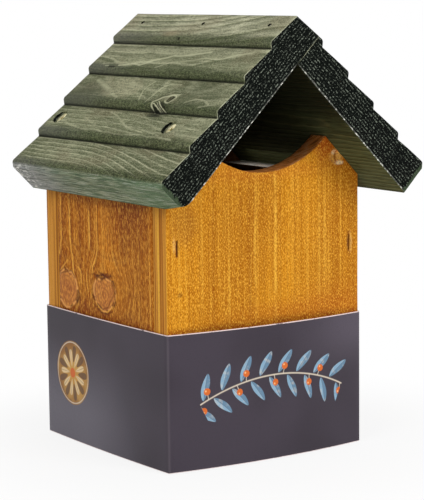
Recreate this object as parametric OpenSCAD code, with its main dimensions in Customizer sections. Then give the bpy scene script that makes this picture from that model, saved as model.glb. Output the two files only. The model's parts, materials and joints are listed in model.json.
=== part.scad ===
// Open-fronted timber nest box for robins, with a lapped pitched roof.
// Full-width gable boards close the ends, and two side boards and a floor stand between them.
// The roof is two milled boards that meet in a butt joint along the ridge.
// The frame has +Z up and the open front towards -Y. Its origin is under the middle of the box.

/* [Body] */
// Width over the front and back boards
body_w = 135; // [110:1:180]
// Depth from the front board's face to the back board's face
body_d = 135; // [110:1:180]
// Height of the shoulders, where the roof slopes start
shoulder_h = 161.5; // [130:0.5:220]
// Thickness of every wall board
board_t = 14; // [11:0.5:18]
// Thickness of the floor board
floor_t = 14; // [9:0.5:20]
// Height of the floor's underside above the wall's lower edges
floor_recess = 3; // [1:0.5:8]
// Gap left round boards that drop in between others
fit_gap = 0.2; // [0.1:0.05:0.4]

/* [Entrance] */
// Radius of the scoop in the front board
scoop_r = 60.2; // [50:0.1:66]
// Height of the scoop's lowest point above the shoulders
sill_rise = 5.3; // [2:0.1:12]

/* [Roof] */
// Slope of the roof in degrees
roof_slope = 45; // [38:1:48]
// Thickness of a roof board over its lips
roof_t = 22; // [18:0.5:28]
// Length of one course along the slope
course_l = 25.6; // [22:0.1:30]
// Number of courses on each slope
courses = 5; // [5:1:7]
// Height of the lip below each course
lip_h = 4; // [2:0.1:5]
// Distance that a lip's foot is cut back under its nose
lip_undercut = 0.5; // [0.2:0.1:1]
// Radius of each course's nose
nose_r = 2.2; // [1:0.1:3]
// Length of the roof beyond the front board
front_overhang = 32; // [20:1:50]

/* [Floor and hanging] */
// Radius of a drain hole
drain_r = 3; // [2:0.1:5]
// Distance of a drain hole from the walls
drain_inset = 18; // [12:1:30]
// Radius of the hanging hole in the back board
hang_r = 3.5; // [2.5:0.1:5]
// Depth of the hanging hole's centre below the ridge's underside
hang_drop = 30; // [22:1:45]

/* [Roof screws] */
// Diameter of a roof screw's shank
screw_d = 4.5; // [3.5:0.1:5]
// Length of a roof screw
screw_l = 40; // [34:1:46]
// Diameter of a roof screw's head
screw_head_d = 9.6; // [8.5:0.1:10.5]
// Diameter of the counterbore over a screw's head
counterbore_d = 13; // [11:0.1:14]
// Depth of a screw's head below the roof's surface
head_sink = 1.8; // [1:0.1:4]
// Distance of the roof screws down the slope from the ridge's underside
screw_run = 68; // [66:0.5:72]
// Distance of the roof screws forwards of the middle of the gable boards' thickness
screw_offset = 3.5; // [0:0.5:3.5]
// Width of the cross recess in a screw's head
recess_w = 0.9; // [0.6:0.1:1.2]

/* [Nails and staples] */
// Diameter of a ridge nail
nail_d = 1.6; // [1.2:0.1:2.2]
// Diameter of a ridge nail's head
nail_head_d = 2.6; // [2.4:0.1:3.4]
// Length of a ridge nail
nail_l = 45; // [38:1:50]
// Number of ridge nails
ridge_nail_count = 3; // [2:1:5]
// Distance of the end nails from the roof's ends
ridge_nail_inset = 17; // [12:1:30]
// Width of a staple's crown
staple_w = 9; // [6:0.5:10]
// Thickness of a staple's wire
staple_wire = 1.1; // [0.8:0.1:1.4]
// Length of a staple's legs
staple_l = 28; // [22:1:34]
// Depth of a staple's crown, and of a nail's head, below the wood
punch_depth = 0.8; // [0.3:0.1:1.5]
// Heights of the staples near the left edge of the front and back boards
left_staple_heights = [38, 127.5]; // [20:0.5:140]
// Heights of the staples near the right edge of the front and back boards
right_staple_heights = [44, 121.5]; // [20:0.5:140]
// Distance of the floor staples from the side board's ends
floor_staple_inset = 22; // [14:1:40]

/* [Break-out] */
// Distance of the chipped spot down the slope from the ridge's underside
chip_run = 76; // [74:0.5:84]
// Distance of the chipped spot's middle in from the sloping edge
chip_inset = 3.2; // [2:0.1:5]
// Radius of the chipped spot
chip_r = 4.2; // [2:0.1:5]
// Depth of the chipped spot
chip_depth = 1.4; // [0.6:0.1:3]

/* [Card sleeve] */
// Height of the card sleeve
sleeve_h = 79; // [40:1:110]
// Height of the sleeve's lower edge above the wall's lower edges
sleeve_lift = 0.5; // [0.2:0.1:3]
// Thickness of the card
card_t = 0.5; // [0.3:0.05:1]
// Gap between the card and the boards
card_gap = 0.3; // [0.2:0.05:0.5]
// Distance that the front of the sleeve bows outwards
bow_front = 5.5; // [1:0.5:9]
// Distance that each side of the sleeve bows outwards
bow_side = 1.5; // [0.5:0.5:4]
// Width of the glued lap at the back
lap_w = 18; // [8:1:30]

/* [Hidden] */

// Colours of the finishes
honey_stain = [0.80, 0.55, 0.21];
brown_stain = [0.70, 0.42, 0.18];
raw_timber = [0.78, 0.62, 0.40];
green_stain = [0.50, 0.53, 0.42];
zinc_yellow = [0.80, 0.76, 0.58];
steel_grey = [0.55, 0.55, 0.56];
card_grey = [0.33, 0.31, 0.34];

// Facets of the small rounds, of the large arcs, and of the sleeve's flat bows
round_fn = 48;
arc_fn = 180;
bow_fn = 1440;
// Straight steps that round each nose
nose_steps = 5;
// Length by which cutters pass the surfaces that they cut
over = 1;

// Inside of the box
inner_w = body_w - 2 * board_t;
inner_d = body_d - 2 * board_t;
side_centre_x = body_w / 2 - board_t / 2;

// Ridge line under the roof, where the two slopes of the gable boards meet
gable_h = shoulder_h + body_w / 2 * tan(roof_slope);
scoop_z = shoulder_h + sill_rise + scoop_r;

// Directions down the right slope and square out of it, seen from the front
slope_dir = [cos(roof_slope), -sin(roof_slope)];
slope_normal = [sin(roof_slope), cos(roof_slope)];
ridge_under = [0, gable_h];
// Run of a point down the slope from the ridge's underside, and its height over the roof's underside
function run_of(p) = (p - ridge_under) * slope_dir;
function rise_of(p) = (p - ridge_under) * slope_normal;

// Sharp nose and lip foot of each course on the right slope, counted from the ridge
nose_top = gable_h + roof_t / cos(roof_slope);
function nose(i) = [0, nose_top] + i * course_l * slope_dir;
function foot(i) = nose(i) - [lip_undercut, lip_h];
face_dir = (nose(1) - foot(0)) / norm(nose(1) - foot(0));
lip_dir = (foot(1) - nose(1)) / norm(foot(1) - nose(1));
apex = foot(0) - face_dir * foot(0)[0] / face_dir[0];
function eave_corner(p) = p - rise_of(p) * slope_normal;
// Course that lies at a run down the slope, and the height of its face over the roof's underside
function course_at(run) = ceil((run - run_of(nose(0))) / course_l);
function face_height(run) = let (i = course_at(run), from = foot(i - 1), to = nose(i))
    rise_of(from) + (run - run_of(from)) * (rise_of(to) - rise_of(from)) / (run_of(to) - run_of(from));

// Each nose is an arc that touches its course's face and its lip
nose_half = acos(-face_dir * lip_dir) / 2;
nose_inward = (lip_dir - face_dir) / norm(lip_dir - face_dir);
nose_from = atan2(-face_dir[1], face_dir[0]);
nose_turn = 180 - 2 * nose_half;
function nose_arc(i) = [for (k = [0:nose_steps]) let (angle = nose_from + k / nose_steps * nose_turn)
    nose(i) + nose_inward * nose_r / sin(nose_half) + nose_r * [sin(angle), cos(angle)]];

// Butt joint at the ridge: the left board runs on past the ridge, over the right board's end
seam_run = (apex[1] - gable_h) / (tan(roof_slope) - face_dir[1] / face_dir[0]);
seam_top = ridge_under + seam_run * [1, tan(roof_slope)];
seam_l = norm(seam_top - ridge_under);

// Roof and sleeve, front to back
roof_l = front_overhang + body_d;
rear_reach = body_d + card_gap + 2 * card_t;
frame_y = (front_overhang - rear_reach) / 2;

// Screws stand square to the slope, in the gable boards' thickness
screw_ys = [board_t / 2 - screw_offset, body_d - board_t / 2 - screw_offset];
screw_head_h = face_height(screw_run) - head_sink;
screw_cone_l = (screw_head_d - screw_d) / 2;
screw_tip_d = 0.6;
recess_turn = 20;
// Clearance of the shank in the roof boards
thread_gap = 0.3;

// Ridge nails stand square to the left slope, over the middle of the butt joint
ridge_nail_step = (roof_l - 2 * ridge_nail_inset) / (ridge_nail_count - 1);
ridge_nail_ys = [for (i = [0:ridge_nail_count - 1])
    ridge_nail_inset - front_overhang + i * ridge_nail_step];
nail_head_h = face_height(-seam_l / 2) - punch_depth;
nail_head_t = 1;
// Clearance round nails and staples
nail_gap = 0.05;

// Places everything that is built from the front board's face in the part's own frame
module in_frame() translate([0, frame_y, 0]) children();

// Stands an outline of x and z up, and gives it a depth towards the back
module upright(y, depth) {
    translate([0, y + depth, 0]) rotate([90, 0, 0]) linear_extrude(depth) children();
}

// Turns a child so that its z points square out of the right slope, at a run down that slope
module on_slope(run, y) {
    at = ridge_under + run * slope_dir;
    translate([at[0], y, at[1]]) rotate([0, roof_slope, 0]) children();
}

// Repeats a child on the left and the right
module both_sides() {
    children();
    mirror([1, 0, 0]) children();
}

module gable_outline() {
    polygon([[-body_w / 2, 0], [body_w / 2, 0], [body_w / 2, shoulder_h],
             ridge_under, [-body_w / 2, shoulder_h]]);
}

// One roof screw with its head's top at the origin, pointing down
module screw_solid() {
    difference() {
        union() {
            translate([0, 0, -screw_cone_l])
                cylinder(d1 = screw_d, d2 = screw_head_d, h = screw_cone_l, $fn = round_fn);
            translate([0, 0, screw_d - screw_l])
                cylinder(d = screw_d, h = screw_l - screw_d, $fn = round_fn);
            translate([0, 0, -screw_l])
                cylinder(d1 = screw_tip_d, d2 = screw_d, h = screw_d, $fn = round_fn);
        }
        for (turn = [0, 90]) rotate([0, 0, turn + recess_turn])
            translate([-screw_d / 2, -recess_w / 2, -screw_cone_l])
                cube([screw_d, recess_w, screw_cone_l + over]);
    }
}

// Hole for a roof screw: counterbore, seat for the head, and a shank hole down to a depth
module screw_hole(shank_gap) {
    cylinder(d = counterbore_d, h = head_sink + roof_t, $fn = round_fn);
    translate([0, 0, -screw_cone_l])
        cylinder(d1 = screw_d, d2 = screw_head_d, h = screw_cone_l, $fn = round_fn);
    translate([0, 0, screw_d - screw_l])
        cylinder(d = screw_d + 2 * shank_gap, h = screw_l - screw_d - screw_cone_l / 2, $fn = round_fn);
    translate([0, 0, -screw_l]) cylinder(d1 = screw_tip_d, d2 = screw_d, h = screw_d, $fn = round_fn);
}

module at_roof_screws() {
    both_sides() for (y = screw_ys)
        on_slope(screw_run, y) translate([0, 0, screw_head_h]) children();
}

// One ridge nail with its head's top at the origin, pointing down
module nail_solid(gap) {
    translate([0, 0, -nail_head_t]) cylinder(d = nail_head_d + 2 * gap, h = nail_head_t, $fn = round_fn);
    translate([0, 0, -nail_l - gap]) cylinder(d = nail_d + 2 * gap, h = nail_l + gap, $fn = round_fn);
}

module at_ridge_nails() {
    mirror([1, 0, 0]) for (y = ridge_nail_ys)
        on_slope(-seam_l / 2, y) translate([0, 0, nail_head_h]) children();
}

// One staple with its crown across x and its legs pointing down, and the slot that it leaves
module staple_solid(gap) {
    translate([-staple_w / 2 - gap, -staple_wire / 2 - gap, -staple_wire])
        cube([staple_w + 2 * gap, staple_wire + 2 * gap, staple_wire]);
    for (side = [-1, 1]) translate([side * (staple_w - staple_wire) / 2, 0, -staple_l / 2])
        cube([staple_wire + 2 * gap, staple_wire + 2 * gap, staple_l + 2 * gap], center = true);
}

module staple_slot() {
    staple_solid(nail_gap);
    translate([-staple_w / 2 - nail_gap, -staple_wire / 2 - nail_gap, -over / 2])
        cube([staple_w + 2 * nail_gap, staple_wire + 2 * nail_gap, punch_depth + 2 * over]);
}

// Staples through the front and back boards into the side boards' ends
module at_wall_staples() {
    for (side = [-1, 1]) for (z = side < 0 ? left_staple_heights : right_staple_heights) {
        translate([side * side_centre_x, punch_depth, z]) rotate([90, 90, 0]) children();
        translate([side * side_centre_x, body_d - punch_depth, z]) rotate([-90, 90, 0]) children();
    }
}

// Staples through the side boards into the floor's edges
module at_floor_staples() {
    both_sides() for (y = [board_t + floor_staple_inset, body_d - board_t - floor_staple_inset])
        translate([body_w / 2 - punch_depth, y, floor_recess + floor_t / 2]) rotate([0, 90, 0])
            rotate([0, 0, 90]) children();
}

// Points of the right slope's outline, from its first nose to the eave's lower corner
slope_points = [
    for (i = [1:courses]) each concat(nose_arc(i), [foot(i)]),
    eave_corner(foot(courses))
];

// The left board's outline runs over the ridge and down to the butt joint
module left_roof_outline() {
    polygon(concat([ridge_under, seam_top, apex], [for (p = slope_points) [-p[0], p[1]]]));
}

module right_roof_outline() {
    polygon(concat([ridge_under, seam_top], slope_points));
}

module left_roof_board() in_frame() color(green_stain) difference() {
    upright(-front_overhang, roof_l) left_roof_outline();
    at_roof_screws() screw_hole(thread_gap);
    at_ridge_nails() ridge_nail_hole();
}

module right_roof_board() in_frame() color(green_stain) difference() {
    upright(-front_overhang, roof_l) right_roof_outline();
    at_roof_screws() screw_hole(thread_gap);
    at_ridge_nails() ridge_nail_hole();
}

module ridge_nail_hole() {
    nail_solid(nail_gap);
    cylinder(d = nail_head_d + 2 * nail_gap, h = roof_t, $fn = round_fn);
}

module roof_screws() in_frame() color(zinc_yellow) at_roof_screws() screw_solid();

module ridge_nails() in_frame() color(steel_grey) at_ridge_nails() nail_solid(0);

module front_panel() in_frame() color(honey_stain) difference() {
    upright(0, board_t) difference() {
        gable_outline();
        translate([0, scoop_z]) circle(r = scoop_r, $fn = arc_fn);
    }
    at_roof_screws() screw_hole(0);
    at_wall_staples() staple_slot();
    chip_break_out();
}

// Shallow bowl where the wood has broken out beside the right slope
module chip_break_out() {
    bowl_r = (chip_r * chip_r + chip_depth * chip_depth) / (2 * chip_depth);
    on_slope(chip_run, chip_depth - bowl_r) translate([0, 0, -chip_inset])
        sphere(r = bowl_r, $fn = round_fn);
}

module back_panel() in_frame() color(brown_stain) difference() {
    upright(body_d - board_t, board_t) gable_outline();
    at_roof_screws() screw_hole(0);
    at_wall_staples() staple_slot();
    translate([0, body_d - board_t - over, gable_h - hang_drop]) rotate([-90, 0, 0])
        cylinder(r = hang_r, h = board_t + 2 * over, $fn = round_fn);
}

// The side boards are square cut, so a wedge of air is left between their tops and the roof
module side_board(side) difference() {
    translate([side * side_centre_x - board_t / 2, board_t, 0])
        cube([board_t, inner_d, shoulder_h - fit_gap]);
    at_wall_staples() staple_slot();
    at_floor_staples() staple_slot();
}

module left_side_panel() in_frame() color(brown_stain) side_board(-1);

module right_side_panel() in_frame() color(brown_stain) side_board(1);

module floor_panel() in_frame() color(raw_timber) difference() {
    translate([fit_gap - inner_w / 2, board_t + fit_gap, floor_recess])
        cube([inner_w - 2 * fit_gap, inner_d - 2 * fit_gap, floor_t]);
    at_floor_staples() staple_slot();
    both_sides() for (y = [board_t + drain_inset, body_d - board_t - drain_inset])
        translate([inner_w / 2 - drain_inset, y, floor_recess - over])
            cylinder(r = drain_r, h = floor_t + 2 * over, $fn = round_fn);
}

module wall_staples() in_frame() color(steel_grey) at_wall_staples() staple_solid(0);

module floor_staples() in_frame() color(steel_grey) at_floor_staples() staple_solid(0);

// Disc whose rim passes both ends of a straight edge and bows out over its middle
module bowed_edge(length, rise) {
    bow_r = (length * length / 4 + rise * rise) / (2 * rise);
    translate([0, rise - bow_r]) circle(r = bow_r, $fn = bow_fn);
}

// Outline of the sleeve from above, inset by a share of the card's thickness
module sleeve_outline(inset) {
    half_w = body_w / 2 + card_gap + card_t - inset;
    front = inset - card_gap - card_t;
    depth = rear_reach - inset - front;
    intersection() {
        translate([-half_w - bow_side - over, front - bow_front - over])
            square([2 * (half_w + bow_side + over), depth + bow_front + over]);
        translate([0, front]) rotate([0, 0, 180]) bowed_edge(2 * half_w, bow_front);
        translate([-half_w, front + depth / 2]) rotate([0, 0, 90]) bowed_edge(depth, bow_side);
        translate([half_w, front + depth / 2]) rotate([0, 0, -90]) bowed_edge(depth, bow_side);
    }
}

module card_sleeve() in_frame() color(card_grey) translate([0, 0, sleeve_lift]) {
    linear_extrude(sleeve_h) {
        difference() {
            sleeve_outline(0);
            sleeve_outline(card_t);
        }
        // The glued lap reaches half-way into the card of the side and of the back
        translate([body_w / 2 - lap_w, body_d + card_gap])
            square([lap_w + card_gap + card_t / 2, 1.5 * card_t]);
    }
}

front_panel();
back_panel();
left_side_panel();
right_side_panel();
floor_panel();
left_roof_board();
right_roof_board();
roof_screws();
ridge_nails();
wall_staples();
floor_staples();
card_sleeve();
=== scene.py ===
"""Dresses the timber nest box: its boards, its fixings and its card sleeve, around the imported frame.

Lengths are in metres, and the materials work in millimetres of Object coordinates. Colours are written
as a screen shows them, from 0 to 255.
"""

import json
import logging
import math
from collections.abc import Callable, Iterable, Sequence
from dataclasses import dataclass
from enum import Enum
from typing import TypeAlias

import bmesh
import bpy
from mathutils import Matrix, Vector, noise

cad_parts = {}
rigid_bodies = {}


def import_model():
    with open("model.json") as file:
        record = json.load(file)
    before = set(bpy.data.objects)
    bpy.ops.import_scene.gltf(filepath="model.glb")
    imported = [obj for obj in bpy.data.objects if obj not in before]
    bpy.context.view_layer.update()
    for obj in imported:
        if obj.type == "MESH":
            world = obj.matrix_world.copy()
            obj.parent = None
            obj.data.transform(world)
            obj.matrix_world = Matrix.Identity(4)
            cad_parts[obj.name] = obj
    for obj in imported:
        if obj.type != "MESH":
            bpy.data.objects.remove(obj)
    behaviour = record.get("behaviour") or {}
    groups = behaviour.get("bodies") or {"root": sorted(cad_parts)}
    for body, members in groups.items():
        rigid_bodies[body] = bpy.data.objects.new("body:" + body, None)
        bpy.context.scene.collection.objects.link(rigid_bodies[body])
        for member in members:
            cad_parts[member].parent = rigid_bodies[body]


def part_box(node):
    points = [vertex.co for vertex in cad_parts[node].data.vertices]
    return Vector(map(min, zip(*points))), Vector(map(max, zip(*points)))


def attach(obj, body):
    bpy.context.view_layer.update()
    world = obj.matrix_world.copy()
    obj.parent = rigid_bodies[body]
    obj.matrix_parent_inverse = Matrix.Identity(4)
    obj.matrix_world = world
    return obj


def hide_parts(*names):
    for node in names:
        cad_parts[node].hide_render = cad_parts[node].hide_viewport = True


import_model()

MM = 0.001
BODY = "root"
SLOPE = math.radians(45)
AXES = (Vector((1, 0, 0)), Vector((0, 1, 0)), Vector((0, 0, 1)))
# Seed of the boards' unevenness, so that every run gives the same
SEED = 1
# Distance under which two vertices are one
SAME = 1e-7
# Distance under which two places are the same
NEAR = 1e-6
# Least angle between two faces that makes their edge an arris
SHARP = math.radians(30)

Point: TypeAlias = tuple[float, float, float]
Place: TypeAlias = tuple[float, float]
Colour: TypeAlias = tuple[int, int, int]
Socket: TypeAlias = bpy.types.NodeSocket
Value: TypeAlias = "Term | float"
Coat: TypeAlias = "tuple[Colour | Socket, Term | float]"
log = logging.getLogger("nest_box")

# Ground, pale and deep colour of the brown stain on the boards that the photograph does not show
BROWN = ((180, 106, 34), (214, 150, 72), (124, 62, 14))


class Side(Enum):
    """Which half of the box a piece belongs to, seen from the front."""

    LEFT = -1
    RIGHT = 1


def light(colour: Colour) -> Point:
    """Turns a colour as it looks on a screen into the light values that a shader takes."""
    shares = (channel / 255 for channel in colour)
    return tuple(s / 12.92 if s <= 0.04045 else ((s + 0.055) / 1.055) ** 2.4 for s in shares)


def turned(degrees: float, axis: str) -> Matrix:
    """Gives a turn round an axis."""
    return Matrix.Rotation(math.radians(degrees), 4, axis)


class Term:
    """A value in a material's node tree that takes part in formulas."""

    def __init__(self, recipe: "Recipe", socket: Socket) -> None:
        """Keeps the socket that gives the value, and the recipe that it belongs to."""
        self.recipe = recipe
        self.socket = socket

    def apply(self, operation: str, *others: Value) -> "Term":
        """Puts the value through one maths node with the other values."""
        return self.recipe.math(operation, self, *others)

    def __add__(self, other: Value) -> "Term":
        """Adds another value."""
        return self.apply("ADD", other)

    def __sub__(self, other: Value) -> "Term":
        """Takes another value off this one."""
        return self.apply("SUBTRACT", other)

    def __mul__(self, other: Value) -> "Term":
        """Multiplies by another value."""
        return self.apply("MULTIPLY", other)

    def __truediv__(self, other: Value) -> "Term":
        """Divides by another value."""
        return self.apply("DIVIDE", other)

    def __neg__(self) -> "Term":
        """Turns the sign round."""
        return self.apply("MULTIPLY", -1.0)

    def inverse(self) -> "Term":
        """Gives one minus the value."""
        return self.recipe.math("SUBTRACT", 1.0, self)

    def size(self) -> "Term":
        """Gives the value without its sign."""
        return self.apply("ABSOLUTE")

    def share(self) -> "Term":
        """Gives the part of the value after its point, so that it repeats."""
        return self.apply("FRACT")

    def most(self, other: Value) -> "Term":
        """Gives the larger of this value and another."""
        return self.apply("MAXIMUM", other)

    def reach(self, other: "Term") -> "Term":
        """Gives the distance that this value and one square to it make."""
        return (self * self + other * other).apply("SQRT")

    def step(self, low: float, high: float) -> "Term":
        """Rises smoothly from 0 at one value to 1 at another, and falls where low is above high.

        Args:
            low: Value at which the step gives 0.
            high: Value at which the step gives 1.

        Returns:
            The step, from 0 to 1.
        """
        limits = (low, high, 0.0, 1.0) if low < high else (high, low, 1.0, 0.0)
        return Term(self.recipe, self.recipe.node("ShaderNodeMapRange", self, *limits,
                                                  interpolation_type="SMOOTHSTEP").outputs[0])

    def peak(self, middle: float, half: float) -> "Term":
        """Gives 1 at a value, and falls smoothly to 0 at a distance from it."""
        return (self - middle).size().step(half, 0.0)


class Recipe:
    """The node tree of one material, written as formulas on places in millimetres."""

    def __init__(self, name: str) -> None:
        """Starts a material with a principled shader and the piece's own places.

        Args:
            name: Plain name of the finish.
        """
        self.material = bpy.data.materials.new(name)
        self.material.use_nodes = True
        self.shader = self.material.node_tree.nodes["Principled BSDF"]
        coordinates = self.node("ShaderNodeTexCoord")
        self.place = self.vector("SCALE", coordinates.outputs["Object"], scale=1 / MM)
        self.x, self.y, self.z = self.split(self.place)
        self.facing = tuple(self.split(coordinates.outputs["Normal"]))

    def node(self, kind: str, *values: object, **settings: object) -> bpy.types.Node:
        """Adds a node, sets its options and feeds its first inputs.

        Args:
            kind: Name of the kind of node.
            *values: Values of its first inputs.
            **settings: Its options.

        Returns:
            The node.
        """
        made = self.material.node_tree.nodes.new(kind)
        for name, value in settings.items():
            setattr(made, name, value)
        for socket, value in zip(made.inputs, values):
            self.feed(socket, value)
        return made

    def feed(self, socket: Socket, value: object) -> None:
        """Links a value to a socket, or sets the socket's own value.

        Args:
            socket: Input of a node.
            value: A term, another node's output, a number, a vector or a colour.
        """
        source = value.socket if isinstance(value, Term) else value
        if isinstance(source, bpy.types.NodeSocket):
            self.material.node_tree.links.new(source, socket)
        else:
            socket.default_value = (*light(source), 1.0) if socket.type == "RGBA" else source

    def math(self, operation: str, *values: Value) -> Term:
        """Puts values through one maths node."""
        return Term(self, self.node("ShaderNodeMath", *values, operation=operation).outputs[0])

    def vector(self, operation: str, *values: object, scale: "Value | None" = None) -> Socket:
        """Puts vectors through one vector maths node, and scales them where a scale is given.

        Args:
            operation: Name of the operation.
            *values: Its vectors.
            scale: Factor, where the operation takes one.

        Returns:
            The vector that it gives.
        """
        node = self.node("ShaderNodeVectorMath", *values, operation=operation)
        if scale is not None:
            self.feed(node.inputs["Scale"], scale)
        return node.outputs["Vector"]

    def measure(self, operation: str, *values: object) -> Term:
        """Puts vectors through one vector maths node that gives a number."""
        return Term(self, self.node("ShaderNodeVectorMath", *values, operation=operation).outputs["Value"])

    def split(self, vector: Socket) -> list[Term]:
        """Gives a vector's three parts as terms."""
        return [Term(self, socket) for socket in self.node("ShaderNodeSeparateXYZ", vector).outputs]

    def join(self, x: Value, y: Value, z: Value) -> Socket:
        """Makes a vector of three values."""
        return self.node("ShaderNodeCombineXYZ", x, y, z).outputs[0]

    def noise(self, seed: float, stretch: Point | float, at: Socket | None = None,
              detail: float = 2.0, rough: float = 0.5) -> Term:
        """Smooth noise whose grains are about one unit across after a stretch.

        Args:
            seed: Shift that makes one pattern differ from another.
            stretch: Factor for each axis, so that 0.1 gives grains ten millimetres long.
            at: Vector of the place, where it isn't the plain place on the piece.
            detail: Number of finer layers.
            rough: Share that each finer layer keeps.

        Returns:
            The noise, from 0 to 1 with its middle at one half.
        """
        stretch = (stretch,) * 3 if isinstance(stretch, (int, float)) else stretch
        moved = self.vector("MULTIPLY_ADD", at or self.place, stretch, (seed * 7.3, seed * 3.1, seed * 5.7))
        node = self.node("ShaderNodeTexNoise")
        for name, value in (("Vector", moved), ("Scale", 1.0), ("Detail", detail), ("Roughness", rough)):
            self.feed(node.inputs[name], value)
        return Term(self, node.outputs["Fac"])

    def layers(self, colour: Colour | Socket, *coats: Coat) -> Socket:
        """Lays coats of colour over a ground, one after another.

        Args:
            colour: The ground.
            *coats: Each coat's colour and the share of it that shows.

        Returns:
            The colour that they make.
        """
        for tint, share in coats:
            node = self.node("ShaderNodeMix", share, data_type="RGBA", clamp_factor=True)
            self.feed(node.inputs[6], colour)
            self.feed(node.inputs[7], tint)
            colour = node.outputs[2]
        return colour

    def away(self, across: Term, up: Term, points: Sequence[Place]) -> Term:
        """Gives how far each place is from a line through points.

        Args:
            across: The first part of the place.
            up: The second part of the place.
            points: Points of the line, in order.

        Returns:
            The distance in millimetres.
        """
        place = self.join(across, up, 0.0)
        nearest = None
        for start, end in zip(points, points[1:]):
            way = Vector((*end, 0)) - Vector((*start, 0))
            offset = self.vector("SUBTRACT", place, (*start, 0))
            share = self.measure("DOT_PRODUCT", offset, way / way.length_squared)
            share = share.most(0.0).apply("MINIMUM", 1.0)
            along = self.vector("SCALE", way, scale=share)
            gap = self.measure("LENGTH", self.vector("SUBTRACT", offset, along))
            nearest = gap if nearest is None else nearest.apply("MINIMUM", gap)
        return nearest

    def finish(self, colour: Colour | Socket, rough: Value, height: Term, relief: float,
               specular: float = 0.5, metallic: float = 0.0) -> bpy.types.Material:
        """Feeds the shader and gives the finished material.

        Args:
            colour: Base colour.
            rough: Roughness.
            height: Height field of the bump.
            relief: Depth in millimetres between the height's 0 and 1.
            specular: Strength of the plain reflection.
            metallic: How much of a metal the surface is.

        Returns:
            The material.
        """
        bump = self.node("ShaderNodeBump")
        bump.inputs["Distance"].default_value = relief * MM
        self.feed(bump.inputs["Height"], height)
        for name, value in (("Base Color", colour), ("Roughness", rough), ("Specular IOR Level", specular),
                            ("Metallic", metallic), ("Normal", bump.outputs[0])):
            self.feed(self.shader.inputs[name], value)
        return self.material


@dataclass(frozen=True)
class Knot:
    """An oval knot on a board's face, in millimetres along and across the fibres."""

    along: float
    across: float
    half_along: float
    half_across: float
    taper: float = 0.0

    def reach(self, along: Term, across: Term) -> Term:
        """Gives the distance from the knot's middle, where 1 is its rim.

        Args:
            along: Place along the fibres.
            across: Place across the fibres.

        Returns:
            The distance.
        """
        lengthways = (along - self.along) / self.half_along
        sideways = (across - self.across) / self.half_across
        if self.taper:
            sideways = sideways / (lengthways * self.taper + 1.0).most(0.35)
        return sideways.reach(lengthways)


@dataclass
class Grain:
    """What the growth rings, the fibres and the knots give at each place of a board."""

    line: Term
    late: Term
    fibre: Term
    fleck: Term
    drift: Term
    bent: Term
    knot: Term
    knot_ring: Term
    knot_rim: Term
    knot_halo: Term


@dataclass(frozen=True)
class Growth:
    """How the tree grew that a board was sawn from, in millimetres.

    The rings lie round a pith line, so faces show lines and arches, and sawn ends show arcs.
    """

    ring: float
    pith_across: float
    pith_depth: float
    wave: float = 6.0
    ripple: float = 1.5
    fan: Point = (0.0, 1.0, 0.0)
    seed: float = 0.0
    fleck: Place = (2.3, 1.0)
    line_width: float = 0.15
    calm: float = 0.0
    knots: tuple[Knot, ...] = ()

    def grain(self, recipe: Recipe, along: Term, across: Term, depth: Term) -> Grain:
        """Writes the grain of a board.

        Args:
            recipe: Recipe that the grain goes into.
            along: Place along the fibres.
            across: Place across the fibres on the board's face.
            depth: Place through the board's thickness.

        Returns:
            The grain's terms, each from 0 to 1.
        """
        at = recipe.join(across, depth, along)
        drift = recipe.noise(self.seed, (0.018, 0.018, 0.006), at, detail=0.0)
        ripple = recipe.noise(self.seed + 4, (0.034, 0.034, 0.017), at, detail=1.0) - 0.5
        rough = recipe.noise(self.seed + 1, (0.25, 0.25, 0.12), at) - 0.5
        nothing = along * 0.0
        inside, rings, rim, halo, bent, lift = nothing, nothing, nothing, nothing, across, nothing
        for knot in self.knots:
            reach = knot.reach(along, across) + rough * 0.3
            bent = bent - (across - knot.across) * reach.step(3.2, 0.6) * 0.85
            lift = lift + reach.step(3.4, 0.8) * 2.2
            inside = inside.most(reach.step(1.06, 0.96))
            rings = rings + (reach * 3.6 + rough).share().peak(0.5, 0.42) * reach.step(1.05, 0.95)
            rim = rim.most(reach.peak(1.06, 0.13))
            halo = halo.most(reach.peak(1.22, 0.15))
        sideways = bent - self.pith_across
        start, end, narrowing = self.fan
        if narrowing:
            sideways = sideways * (along.step(start, end) * narrowing).inverse()
        sideways = sideways + (drift - 0.5) * (self.wave * 4)
        if self.calm:
            ripple = ripple * sideways.size().step(self.calm, self.calm * 0.25)
        inwards = depth + ripple * (self.ripple * 4) - self.pith_depth
        radius = sideways.reach(inwards) / self.ring + rough * 0.22 + lift
        turn = radius.share()
        year = recipe.noise(0, (0.7, 1, 1), recipe.join(radius.apply("FLOOR"), self.seed, 0.0))
        strong = year.step(0.25, 0.6) * 0.75 + 0.25
        line = turn.peak(0.88, self.line_width) * strong
        late = turn.step(0.15, 0.68) * turn.step(0.95, 0.8) * strong
        fibre = recipe.noise(self.seed + 2, (1.5, 1.5, 0.05), at, detail=3.0)
        fleck = recipe.noise(self.seed + 3, (self.fleck[0], *self.fleck), at, rough=0.6)
        return Grain(line, late, fibre, fleck, drift, bent, inside, rings, rim, halo)


@dataclass(frozen=True)
class Mark:
    """A spot on a board's face, in millimetres: a stain, a worn place, or painted shade."""

    across: float
    up: float
    wide: float
    tall: float
    colour: Colour
    strength: float = 1.0
    soft: float = 0.5

    def coat(self, r: Recipe, across: Term, up: Term) -> Coat:
        """Gives the mark's colour and how much of it shows.

        Args:
            r: Recipe of the board.
            across: Place across the board.
            up: Place up the board.

        Returns:
            The colour and its share.
        """
        rough = r.noise(31, (0.5, 0.5, 0.35), detail=3.0) - 0.5
        reach = ((across - self.across) / self.wide).reach((up - self.up) / self.tall) + rough * 0.7
        return self.colour, reach.step(1.0 + self.soft, 1.0 - self.soft) * self.strength


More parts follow.
